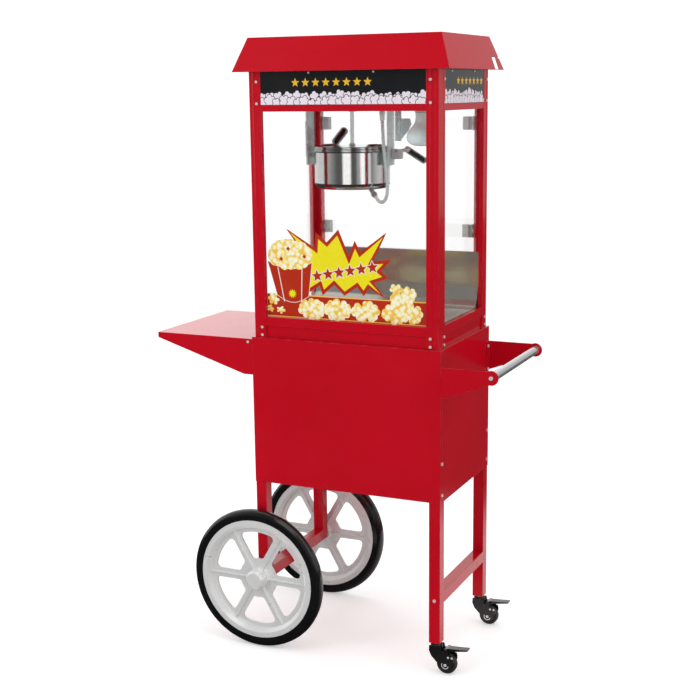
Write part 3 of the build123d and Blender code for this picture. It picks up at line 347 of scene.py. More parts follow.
class Groups:
    """Shader node groups shared by the finishes, each built once."""

    edge_bend = (0.995, 0.80)
    edge_patches = (0.40, 0.70)
    smudge_patches = (0.3, 0.7)

    def __init__(self) -> None:
        """Build every group."""
        self.edge = self._edge()
        self.grain = self._grain()
        self.brushed = self._brushed()
        self.smudge = self._smudge()

    @staticmethod
    def _new(name: str, inputs: dict[str, float],
             outputs: dict[str, str]) -> tuple[bpy.types.NodeTree, bpy.types.Node, bpy.types.Node]:
        """Start a group.

        Args:
            name: The group's name.
            inputs: Float inputs and their defaults.
            outputs: Output names and socket types.

        Returns:
            The tree, its input node and its output node.
        """
        tree = bpy.data.node_groups.new(name, "ShaderNodeTree")
        for key, value in inputs.items():
            socket = tree.interface.new_socket(name=key, in_out="INPUT", socket_type="NodeSocketFloat")
            socket.default_value = value
        for key, kind in outputs.items():
            tree.interface.new_socket(name=key, in_out="OUTPUT", socket_type=kind)
        return tree, tree.nodes.new("NodeGroupInput"), tree.nodes.new("NodeGroupOutput")

    @staticmethod
    def _noise(tree: bpy.types.NodeTree, scale: Value, detail: float,
               vector: bpy.types.NodeSocket | None = None) -> bpy.types.Node:
        """Place noise.

        Args:
            tree: The group's tree.
            scale: Its scale.
            detail: Its detail.
            vector: Where it is read, or None for the object's own coordinates.

        Returns:
            The noise node.
        """
        if vector is None:
            vector = tree.nodes.new("ShaderNodeTexCoord").outputs["Object"]
        return wire(tree, "ShaderNodeTexNoise", {"Vector": vector, "Scale": scale, "Detail": detail})

    def _edge(self) -> bpy.types.NodeTree:
        """Mask of convex edges and a normal that rounds them.

        Returns:
            Group with inputs Radius, Amount and Breakup and outputs Mask and Normal.
        """
        tree, start, end = self._new(
            "edge_wear_and_highlight", {"Radius": 0.001, "Amount": 0.5, "Breakup": 60.0},
            {"Mask": "NodeSocketFloat", "Normal": "NodeSocketVector"})
        bevel = wire(tree, "ShaderNodeBevel", {"Radius": start.outputs["Radius"]})
        bevel.samples = 4
        geometry = tree.nodes.new("ShaderNodeNewGeometry")
        dot = wire(tree, "ShaderNodeVectorMath",
                   {0: bevel.outputs["Normal"], 1: geometry.outputs["Normal"]}, "DOT_PRODUCT")
        flat, sharp = self.edge_bend
        bent = wire(tree, "ShaderNodeMapRange",
                    {"Value": dot.outputs["Value"], "From Min": flat, "From Max": sharp})
        noise = self._noise(tree, start.outputs["Breakup"], 4.0)
        low, high = self.edge_patches
        patchy = wire(tree, "ShaderNodeMapRange",
                      {"Value": noise.outputs["Fac"], "From Min": low, "From Max": high})
        both = maths(tree, "MULTIPLY", bent.outputs["Result"], patchy.outputs["Result"])
        mask = maths(tree, "MULTIPLY", both, start.outputs["Amount"])
        tree.links.new(mask, end.inputs["Mask"])
        tree.links.new(bevel.outputs["Normal"], end.inputs["Normal"])
        return tree

    def _grain(self) -> bpy.types.NodeTree:
        """Fine height noise, such as the orange peel of sprayed paint or the grain of moulded plastic.

        Returns:
            Group with inputs Fine Scale, Broad Scale and Mix and outputs Height and Tone.
        """
        tree, start, end = self._new(
            "surface_grain", {"Fine Scale": 900.0, "Broad Scale": 6.0, "Mix": 0.3},
            {"Height": "NodeSocketFloat", "Tone": "NodeSocketFloat"})
        fine = self._noise(tree, start.outputs["Fine Scale"], 2.0)
        broad = self._noise(tree, start.outputs["Broad Scale"], 3.0)
        blend = wire(tree, "ShaderNodeMix",
                     {"Factor": start.outputs["Mix"], 2: fine.outputs["Fac"], 3: broad.outputs["Fac"]})
        tree.links.new(blend.outputs[0], end.inputs["Height"])
        tree.links.new(broad.outputs["Fac"], end.inputs["Tone"])
        return tree

    def _brushed(self) -> bpy.types.NodeTree:
        """Long fine lines of brushed metal.

        Returns:
            Group with inputs Along X, Along Y and Along Z (lines per metre on each axis) and output Lines.
        """
        tree, start, end = self._new(
            "brushed_lines", {"Along X": 20.0, "Along Y": 1500.0, "Along Z": 1500.0},
            {"Lines": "NodeSocketFloat"})
        coords = tree.nodes.new("ShaderNodeTexCoord")
        scale = wire(tree, "ShaderNodeCombineXYZ", {axis: start.outputs[f"Along {axis}"] for axis in "XYZ"})
        drawn = wire(tree, "ShaderNodeVectorMath",
                     {0: coords.outputs["Object"], 1: scale.outputs[0]}, "MULTIPLY")
        noise = self._noise(tree, 1.0, 3.0, drawn.outputs[0])
        tree.links.new(noise.outputs["Fac"], end.inputs["Lines"])
        return tree

    def _smudge(self) -> bpy.types.NodeTree:
        """Broad wiped marks that change the roughness.

        Returns:
            Group with inputs Scale, Low and High and output Roughness.
        """
        tree, start, end = self._new(
            "wiped_marks", {"Scale": 9.0, "Low": 0.1, "High": 0.2}, {"Roughness": "NodeSocketFloat"})
        noise = self._noise(tree, start.outputs["Scale"], 5.0)
        noise.inputs["Distortion"].default_value = 1.2
        low, high = self.smudge_patches
        span = wire(tree, "ShaderNodeMapRange",
                    {"Value": noise.outputs["Fac"], "From Min": low, "From Max": high,
                     "To Min": start.outputs["Low"], "To Max": start.outputs["High"]})
        tree.links.new(span.outputs["Result"], end.inputs["Roughness"])
        return tree


class Sheet:
    """A new material with a Principled shader and short calls for its nodes."""

    def __init__(self, name: str, groups: Groups) -> None:
        """Start the material.

        Args:
            name: The material's name.
            groups: Shared node groups.
        """
        self.groups = groups
        self.material = bpy.data.materials.new(name)
        self.material.use_nodes = True
        self.tree = self.material.node_tree
        self.shader = self.tree.nodes["Principled BSDF"]
        self.output = self.tree.nodes["Material Output"]

    def put(self, **values: float | tuple) -> None:
        """Set constant sockets of the shader; underscores in names stand for spaces."""
        for key, value in values.items():
            self.shader.inputs[key.replace("_", " ")].default_value = value

    def link(self, source: bpy.types.NodeSocket, target: bpy.types.NodeSocket | str) -> None:
        """Join two sockets; a name stands for a socket of the shader."""
        self.tree.links.new(source, self.shader.inputs[target] if isinstance(target, str) else target)

    def group(self, tree: bpy.types.NodeTree, **values: float) -> bpy.types.Node:
        """Place a shared group.

        Args:
            tree: The group.
            values: Its inputs, with underscores for spaces.

        Returns:
            The group node.
        """
        node = self.tree.nodes.new("ShaderNodeGroup")
        node.node_tree = tree
        for key, value in values.items():
            node.inputs[key.replace("_", " ")].default_value = value
        return node

    def ramp(self, source: bpy.types.NodeSocket,
             stops: Sequence[tuple[float, tuple]]) -> bpy.types.NodeSocket:
        """Map a value to colours.

        Args:
            source: The value.
            stops: (place, colour) pairs.

        Returns:
            The colour output.
        """
        node = self.tree.nodes.new("ShaderNodeValToRGB")
        elements = node.color_ramp.elements
        elements[0].position, elements[0].color = stops[0][0], (*stops[0][1], 1.0)
        elements[1].position, elements[1].color = stops[-1][0], (*stops[-1][1], 1.0)
        for place, colour in stops[1:-1]:
            extra = elements.new(place)
            extra.color = (*colour, 1.0)
        self.link(source, node.inputs["Fac"])
        return node.outputs["Color"]

    def mix(self, factor: bpy.types.NodeSocket, low: bpy.types.NodeSocket,
            high: tuple) -> bpy.types.NodeSocket:
        """Blend a colour towards a constant one by a mask.

        Args:
            factor: The mask.
            low: Colour at mask 0.
            high: Colour at mask 1.

        Returns:
            The blended colour.
        """
        node = self.tree.nodes.new("ShaderNodeMix")
        node.data_type = "RGBA"
        self.link(factor, node.inputs["Factor"])
        self.link(low, node.inputs[6])
        node.inputs[7].default_value = (*high, 1.0)
        return node.outputs[2]

    def bump(self, height: bpy.types.NodeSocket, strength: float, distance: float,
             normal: bpy.types.NodeSocket | None = None) -> None:
        """Raise the surface by a height.

        Args:
            height: Height from 0 to 1.
            strength: Strength of the bump.
            distance: Height in metres at strength 1.
            normal: Normal to start from.
        """
        node = wire(self.tree, "ShaderNodeBump",
                    {"Strength": strength, "Distance": distance, "Height": height})
        if normal is not None:
            self.link(normal, node.inputs["Normal"])
        self.link(node.outputs["Normal"], "Normal")

    def wiped(self, scale: float, span: Sequence[float]) -> None:
        """Vary the roughness by broad wiped marks.

        Args:
            scale: Scale of the marks.
            span: Lowest and highest roughness.
        """
        marks = self.group(self.groups.smudge, Scale=scale, Low=span[0], High=span[1])
        self.link(marks.outputs["Roughness"], "Roughness")

    def surface(self, tone: bpy.types.NodeSocket, height: bpy.types.NodeSocket, colours: Sequence[tuple],
                edge: Sequence[float], relief: Sequence[float]) -> None:
        """Colour and raise a surface whose edges are rounded and paler, as wear and as a painted highlight.

        Args:
            tone: Pattern that its colour follows.
            height: Pattern that raises it.
            colours: Colour where the pattern is low, where it is high and on the paler edges (wear and
                painted highlight).
            edge: Radius, amount and breakup of the paler edges (wear and painted highlight).
            relief: Strength and height in metres of the pattern.
        """
        wear_and_highlight = self.group(self.groups.edge, Radius=edge[0], Amount=edge[1], Breakup=edge[2])
        shade, colour, bright = colours
        plain = self.ramp(tone, [(0.3, shade), (0.7, colour)])
        # edges paler by the mask: wear, and a painted highlight along folds
        self.link(self.mix(wear_and_highlight.outputs["Mask"], plain, bright), "Base Color")
        self.bump(height, relief[0], relief[1], wear_and_highlight.outputs["Normal"])


# ------------------------------------------------------------------------------------------ finishes
@dataclass(frozen=True)
class Paint:
    """Glossy powder-coated sheet metal, paler along its folds, where a highlight is painted in."""

    name: str = "red_powder_coat"
    colour: tuple = (0.54, 0.0020, 0.013)
    shade: tuple = (0.49, 0.0015, 0.010)
    # edge: pale fold colour, a painted highlight along the folds
    edge: tuple = (0.86, 0.17, 0.21)
    roughness: tuple = (0.12, 0.18)
    fold_radius: float = 0.0016
    wear_and_highlight: Point2 = (0.55, 45.0)  # amount, breakup
    peel: Point2 = (0.10, 0.0004)  # strength, height

    def make(self, groups: Groups) -> bpy.types.Material:
        """Build the material."""
        sheet = Sheet(self.name, groups)
        grain = sheet.group(groups.grain, Fine_Scale=700.0, Broad_Scale=4.0, Mix=0.25)
        sheet.surface(grain.outputs["Tone"], grain.outputs["Height"], (self.shade, self.colour, self.edge),
                      (self.fold_radius, *self.wear_and_highlight), self.peel)
        sheet.wiped(7.0, self.roughness)
        sheet.put(Coat_Weight=0.3, Coat_Roughness=0.05, Specular_IOR_Level=0.25)
        return sheet.material


@dataclass(frozen=True)
class Steel:
    """Brushed or polished steel, aluminium or zinc."""

    name: str
    colour: tuple = (0.62, 0.61, 0.60)
    shade: tuple = (0.52, 0.51, 0.50)
    roughness: tuple = (0.18, 0.30)
    lines: tuple = (20.0, 1400.0, 1400.0)
    depth: float = 0.25
    metallic: float = 1.0
    fold_radius: float = 0.0006
    edge: tuple = (0.85, 0.85, 0.85)
    wear_and_highlight: Point2 = (0.6, 80.0)  # amount, breakup
    line_height: float = 0.0001

    def make(self, groups: Groups) -> bpy.types.Material:
        """Build the material."""
        sheet = Sheet(self.name, groups)
        along = self.lines
        lines = sheet.group(groups.brushed, Along_X=along[0], Along_Y=along[1], Along_Z=along[2])
        pattern = lines.outputs["Lines"]
        sheet.surface(pattern, pattern, (self.shade, self.colour, self.edge),
                      (self.fold_radius, *self.wear_and_highlight), (self.depth, self.line_height))
        sheet.wiped(12.0, self.roughness)
        sheet.put(Metallic=self.metallic)
        return sheet.material


@dataclass(frozen=True)
class Moulded:
    """Moulded plastic, phenolic or rubber."""

    name: str
    colour: tuple = (0.012, 0.012, 0.012)
    shade: tuple = (0.008, 0.008, 0.008)
    edge: tuple = (0.06, 0.06, 0.06)
    roughness: tuple = (0.22, 0.34)
    grain_scale: float = 1400.0
    depth: float = 0.12
    coat: float = 0.0
    fold_radius: float = 0.0008
    wear_and_highlight: Point2 = (0.5, 90.0)  # amount, breakup
    grain_height: float = 0.0003

    def make(self, groups: Groups) -> bpy.types.Material:
        """Build the material."""
        sheet = Sheet(self.name, groups)
        grain = sheet.group(groups.grain, Fine_Scale=self.grain_scale, Broad_Scale=14.0, Mix=0.2)
        sheet.surface(grain.outputs["Tone"], grain.outputs["Height"], (self.shade, self.colour, self.edge),
                      (self.fold_radius, *self.wear_and_highlight), (self.depth, self.grain_height))
        sheet.wiped(16.0, self.roughness)
        sheet.put(Coat_Weight=self.coat, Coat_Roughness=0.08)
        return sheet.material


@dataclass(frozen=True)
class Pane:
    """Clear pane that lets lamp light through without a dark shadow."""

    name: str = "clear_pane"
    tint: tuple = (0.985, 0.992, 0.99)
    pale_tint: tuple = (0.99, 0.995, 0.992)
    clearness: float = 0.85  # share of light that goes straight through

    def make(self, groups: Groups) -> bpy.types.Material:
        """Build the material."""
        sheet = Sheet(self.name, groups)
        tree = sheet.tree
        grain = sheet.group(groups.grain, Fine_Scale=30.0, Broad_Scale=3.0, Mix=0.5)
        tone = sheet.ramp(grain.outputs["Tone"], [(0.2, self.tint), (0.8, self.pale_tint)])
        sheet.link(tone, "Base Color")
        sheet.wiped(6.0, (0.0, 0.004))
        sheet.put(Transmission_Weight=1.0, IOR=1.05, Coat_Weight=0.8, Coat_Roughness=0.02)
        clear = tree.nodes.new("ShaderNodeBsdfTransparent")
        path = tree.nodes.new("ShaderNodeLightPath")
        lit = maths(tree, "MAXIMUM", path.outputs["Is Shadow Ray"], path.outputs["Is Diffuse Ray"])
        passed = maths(tree, "MAXIMUM", lit, reflected(tree, path))
        share = maths(tree, "MAXIMUM", passed, self.clearness)
        chosen = wire(tree, "ShaderNodeMixShader",
                      {0: share, 1: sheet.shader.outputs[0], 2: clear.outputs[0]})
        sheet.link(chosen.outputs[0], sheet.output.inputs["Surface"])
        return sheet.material


@dataclass(frozen=True)
class FrostedGlass:
    """Frosted lamp glass."""

    name: str = "frosted_lamp_glass"
    # tinted cyan to cancel red light bounced from the paint, a painted light correction
    colour: tuple = (0.76, 0.90, 0.89)
    shade: tuple = (0.64, 0.78, 0.77)

    def make(self, groups: Groups) -> bpy.types.Material:
        """Build the material."""
        sheet = Sheet(self.name, groups)
        grain = sheet.group(groups.grain, Fine_Scale=500.0, Broad_Scale=20.0, Mix=0.4)
        tone = sheet.ramp(grain.outputs["Tone"], [(0.3, self.shade), (0.7, self.colour)])
        sheet.link(tone, "Base Color")
        sheet.wiped(20.0, (0.16, 0.30))
        sheet.bump(grain.outputs["Height"], 0.08, 0.0003)
        sheet.put(Subsurface_Weight=0.25, Subsurface_Radius=(0.01, 0.01, 0.01), Coat_Weight=0.4)
        return sheet.material


@dataclass(frozen=True)
class TippedHandle:
    """Steel clamp and stalk with a black grip that starts at one plane, square to the stalk."""

    name: str = "steel_and_phenolic_handle"
    steel: tuple = (0.70, 0.70, 0.69)
    black: tuple = (0.010, 0.010, 0.011)
    aim: tuple = (0.283, 0.862, -0.419)  # along the stalk
    grip_x: float = 0.024  # from the left of the handle's box
    grip_y: float = 0.022
    grip_z: float = 0.028  # from the foot of the handle's box
    overlap: float = 0.0004
    metallic: float = 0.6

    def make(self, groups: Groups) -> bpy.types.Material:
        """Build the material."""
        sheet = Sheet(self.name, groups)
        tree = sheet.tree
        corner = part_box("dump_handle")[0]
        start = Vector((corner.x + self.grip_x, self.grip_y, corner.z + self.grip_z))
        coords = tree.nodes.new("ShaderNodeTexCoord")
        along = wire(tree, "ShaderNodeVectorMath", {0: coords.outputs["Object"], 1: self.aim}, "DOT_PRODUCT")
        plane = start.dot(Vector(self.aim)) - self.overlap
        past = maths(tree, "GREATER_THAN", along.outputs["Value"], plane)
        lines = sheet.group(groups.brushed, Along_X=500.0, Along_Y=60.0, Along_Z=500.0)
        darker = tuple(0.85 * c for c in self.steel)
        tone = sheet.ramp(lines.outputs["Lines"], [(0.3, darker), (0.7, self.steel)])
        sheet.link(sheet.mix(past, tone, self.black), "Base Color")
        sheet.link(maths(tree, "MULTIPLY_ADD", past, -self.metallic, self.metallic), "Metallic")
        edge = sheet.group(groups.edge, Radius=0.001, Amount=0.3, Breakup=80.0)
        sheet.bump(lines.outputs["Lines"], 0.05, 0.0001, edge.outputs["Normal"])
        sheet.wiped(14.0, (0.12, 0.24))
        return sheet.material


@dataclass(frozen=True)
class Ink:
    """Printed ink of one colour, with the fine unevenness of a screen print."""

    name: str
    colour: tuple
    gloss: float = 0.22

    def make(self, groups: Groups) -> bpy.types.Material:
        """Build the material."""
        sheet = Sheet(self.name, groups)
        grain = sheet.group(groups.grain, Fine_Scale=2200.0, Broad_Scale=18.0, Mix=0.35)
        low = tuple(0.93 * c for c in self.colour)
        sheet.link(sheet.ramp(grain.outputs["Height"], [(0.35, low), (0.65, self.colour)]), "Base Color")
        sheet.wiped(14.0, (self.gloss, self.gloss + 0.1))
        sheet.bump(grain.outputs["Height"], 0.04, 0.0001)
        return sheet.material


@dataclass(frozen=True)
class PopcornInk:
    """Printed popped corn: cream lobes with yellow and orange between them."""

    name: str = "popcorn_ink"
    lobe: float = 95.0
    waviness: float = 0.006
    stops: tuple = ((0.0, (0.97, 0.95, 0.86)), (0.38, (0.96, 0.93, 0.70)), (0.55, (0.95, 0.82, 0.30)),
                    (0.75, (0.90, 0.55, 0.08)))

    def make(self, groups: Groups) -> bpy.types.Material:
        """Build the material."""
        sheet = Sheet(self.name, groups)
        tree = sheet.tree
        place = tree.nodes.new("ShaderNodeTexCoord").outputs["Object"]
        bend = wire(tree, "ShaderNodeTexNoise", {"Vector": place, "Scale": 70.0})
        flat = wire(tree, "ShaderNodeVectorMath", {0: place, 1: (1.0, 0.0, 1.0)}, "MULTIPLY")
        sway = (self.waviness, 0.0, self.waviness)
        shift = wire(tree, "ShaderNodeVectorMath",
                     {0: bend.outputs["Color"], 1: sway, 2: flat.outputs[0]}, "MULTIPLY_ADD")
        cells = wire(tree, "ShaderNodeTexVoronoi", {"Vector": shift.outputs[0], "Scale": self.lobe})
        sheet.link(sheet.ramp(cells.outputs["Distance"], self.stops), "Base Color")
        sheet.wiped(14.0, (0.22, 0.32))
        return sheet.material


@dataclass
class Palette:
    """Every material, built once."""

    groups: Groups = field(default_factory=Groups)

    def __post_init__(self) -> None:
        """Build the materials."""
        make: Callable[..., bpy.types.Material] = lambda finish: finish.make(self.groups)
        self.paint = make(Paint())
        self.stainless = make(Steel("brushed_stainless"))
        self.sill = make(Steel("satin_sill_steel", colour=(0.66, 0.66, 0.60), shade=(0.58, 0.58, 0.53),
                               roughness=(0.08, 0.15), lines=(12.0, 700.0, 700.0), depth=0.12,
                               metallic=0.72))
        self.floor_steel = make(Steel("chamber_floor_steel", colour=(0.66, 0.67, 0.63),
                                      shade=(0.56, 0.57, 0.54), roughness=(0.14, 0.24),
                                      lines=(20.0, 900.0, 900.0), depth=0.15, metallic=0.65))
        # bracket: tinted cyan to cancel red light bounced from the paint, a painted light correction
        self.bracket = make(Steel("satin_bracket_steel", colour=(0.84, 0.95, 0.94),
                                  shade=(0.74, 0.85, 0.84), roughness=(0.20, 0.30),
                                  lines=(400.0, 60.0, 400.0), depth=0.12, metallic=0.55))
        # lid: the pot's steel darkened, a painted dark reflection
        self.lid = make(Steel("lid_steel_painted_dark_reflection", colour=(0.40, 0.42, 0.42), shade=(0.34, 0.36, 0.36),
                              roughness=(0.08, 0.14), lines=(60.0, 60.0, 900.0), depth=0.05))
        self.polished = make(Steel("polished_steel", colour=(0.72, 0.71, 0.70), shade=(0.68, 0.67, 0.66),
                                   roughness=(0.05, 0.10), lines=(60.0, 60.0, 900.0), depth=0.04))
        self.chrome = make(Steel("chromed_tube", colour=(0.86, 0.86, 0.86), shade=(0.82, 0.82, 0.82),
                                 roughness=(0.05, 0.10), lines=(300.0, 20.0, 300.0), depth=0.03,
                                 metallic=0.85))
        self.zinc = make(Steel("zinc_screws", colour=(0.92, 0.92, 0.92), shade=(0.80, 0.81, 0.82),
                               roughness=(0.16, 0.26), lines=(400.0, 400.0, 400.0), depth=0.10,
                               metallic=0.45))
        self.aluminium = make(Steel("cast_aluminium", colour=(0.66, 0.66, 0.66), shade=(0.50, 0.50, 0.50),
                                    roughness=(0.34, 0.46), lines=(500.0, 500.0, 500.0), depth=0.30))
        self.sign = make(Moulded("gloss_sign_black", colour=(0.010, 0.011, 0.012),
                                 shade=(0.006, 0.007, 0.008), edge=(0.05, 0.05, 0.05),
                                 roughness=(0.10, 0.16), grain_scale=300.0, depth=0.03, coat=0.4))
        self.phenolic = make(Moulded("black_phenolic", colour=(0.012, 0.012, 0.013),
                                     shade=(0.007, 0.007, 0.008), edge=(0.05, 0.05, 0.05),
                                     roughness=(0.16, 0.26), grain_scale=1200.0, depth=0.08, coat=0.3))
        self.wheel = make(Steel("silver_rim_plastic", colour=(0.94, 0.945, 0.94), shade=(0.90, 0.905, 0.90),
                                roughness=(0.26, 0.36), lines=(500.0, 500.0, 500.0), depth=0.04,
                                metallic=0.36, fold_radius=0.0012))
        self.tyre = make(Moulded("black_tyre_rubber", colour=(0.005, 0.005, 0.006),
                                 shade=(0.003, 0.003, 0.003), edge=(0.02, 0.02, 0.02),
                                 roughness=(0.14, 0.22), grain_scale=700.0, depth=0.08, coat=0.6,
                                 fold_radius=0.002))
        self.caster = make(Moulded("black_caster_plastic", colour=(0.006, 0.006, 0.006),
                                   shade=(0.003, 0.003, 0.003), edge=(0.03, 0.03, 0.03),
                                   roughness=(0.16, 0.26), grain_scale=1100.0, depth=0.08, coat=0.4))
        self.tread = make(Moulded("caster_tread_rubber", colour=(0.016, 0.016, 0.016),
                                  shade=(0.010, 0.010, 0.010), edge=(0.04, 0.04, 0.04),
                                  roughness=(0.42, 0.55), grain_scale=900.0, depth=0.15))
        self.pane = make(Pane())
        self.handle = make(TippedHandle())
        self.lamp = make(FrostedGlass())
        self.ink_yellow = make(Ink("ink_yellow", (0.90, 0.79, 0.003)))
        self.ink_red = make(Ink("ink_red", (0.49, 0.022, 0.001)))
        self.ink_white = make(Ink("ink_white", (0.90, 0.84, 0.82)))
        self.ink_cloud = make(Ink("ink_cloud", (0.88, 0.81, 0.89)))
        self.ink_line = make(Ink("ink_line_yellow", (0.95, 0.55, 0.10)))
        self.ink_star = make(Ink("ink_star_yellow", (0.90, 0.54, 0.025)))
        self.ink_black = make(Ink("ink_black", (0.012, 0.012, 0.014)))
        self.popcorn = make(PopcornInk())
        self.switch_red = make(Moulded("red_rocker", colour=(0.50, 0.010, 0.012),
                                       shade=(0.44, 0.008, 0.010), edge=(0.60, 0.05, 0.05),
                                       roughness=(0.18, 0.26), grain_scale=1200.0, depth=0.04, coat=0.3))

    def by_slot(self) -> dict[Slot, bpy.types.Material]:
        """Material of each record slot."""
        return {
            Slot.RED_PAINT: self.paint, Slot.STAINLESS: self.stainless, Slot.POLISHED: self.polished,
            Slot.SIGN: self.sign, Slot.PANE: self.pane, Slot.PHENOLIC: self.phenolic, Slot.WHEEL: self.wheel,
            Slot.TYRE: self.tyre, Slot.CASTER: self.caster, Slot.TREAD: self.tread, Slot.LAMP: self.lamp,
            Slot.MOTOR: self.aluminium, Slot.ZINC: self.zinc,
        }

    def dress_frame(self) -> None:
        """Give every carried-over CAD node its finish."""
        table = self.by_slot()
        special = {
            "rear_sill": self.sill, "chamber_floor": self.floor_steel, "handle_tube": self.chrome,
            "dump_handle": self.handle, "cart_fasteners": self.zinc, "kettle_hangers": self.bracket,
            "left_door_fittings": self.bracket, "right_door_fittings": self.bracket,
            "trunnion_brackets": self.bracket, "lamp_bracket": self.bracket, "front_lid_flap": self.lid,
            "rear_lid_flap": self.lid, "lid_bridge": self.lid,
            "heat_switch": self.switch_red, "motor_switch": self.switch_red, "lamp_switch": self.switch_red,
        }
        for row in frame["record"]["subparts"]:
            node = frame["nodes"][row["node"]]
            material = special.get(row["node"], table[Slot(row["material_slot"])])
            node.data.materials.clear()
            node.data.materials.append(material)
            for polygon in node.data.polygons:
                polygon.material_index = 0
            LOG.info("%s has %s", row["node"], material.name)


# ------------------------------------------------------------------------------------------ printed art
def star_outline(centre: Point2, outer: float, inner: float, points: int = 5,
                 turn: float = 90.0) -> list[Point2]:
    """Outline of a star.

    Args:
        centre: Its middle.
        outer: Radius of its tips.
        inner: Radius of its notches.
        points: Number of tips.
        turn: Angle of the first tip in degrees.

    Returns:
        Its corners.
    """
    corners = []
    for n in range(2 * points):
        radius = outer if n % 2 == 0 else inner
        angle = math.radians(turn + 180.0 * n / points)
        corners.append((centre[0] + radius * math.cos(angle), centre[1] + radius * math.sin(angle)))
    return corners


def inset(outline: Sequence[Point2], width: float) -> list[Point2]:
    """Move every edge of an outline inwards by a width, with mitred corners.

    Args:
        outline: Corners, in order round the shape.
        width: How far each edge moves.

    Returns:
        The inner corners.
    """
    count = len(outline)
    area = sum(outline[n][0] * outline[(n + 1) % count][1] - outline[(n + 1) % count][0] * outline[n][1]
               for n in range(count))
    sign = 1.0 if area > 0 else -1.0
    inner = []
    for n in range(count):
        before = Vector(outline[n - 1])
        here = Vector(outline[n])
        after = Vector(outline[(n + 1) % count])
        first = (here - before).normalized()
        second = (after - here).normalized()
        left = Vector((-first.y, first.x)) * sign
        right = Vector((-second.y, second.x)) * sign
        middle = left + right
        scale = width / max(0.12, (1 + left.dot(right)) / 2)
        inner.append(tuple(here + middle * 0.5 * scale))
    return inner


def lobed_outline(lobes: Sequence[tuple[float, float, float]], grow: float = 0.0, steps: int = 72,
                  floor: float = -1.0) -> list[Point2]:
    """Outer outline of a cloud of overlapping discs.

    Args:
        lobes: (x, y, radius) of each disc.
        grow: Extra radius on every disc.
        steps: Points round the outline.
        floor: Lowest y of the outline.

    Returns:
        The outline's points.
    """
    centre = Vector((sum(lobe[0] for lobe in lobes), sum(lobe[1] for lobe in lobes))) / len(lobes)
    outline = []
    for n in range(steps):
        angle = 2 * math.pi * n / steps
        ray = Vector((math.cos(angle), math.sin(angle)))
        reach = 0.0
        for x, y, radius in lobes:
            to = Vector((x, y)) - centre
            along = to.dot(ray)
            miss = to.length_squared - along * along
            size = (radius + grow) ** 2
            if miss < size:
                reach = max(reach, along + math.sqrt(size - miss))
        point = centre + ray * reach
        outline.append((point.x, max(point.y, floor)))
    return outline


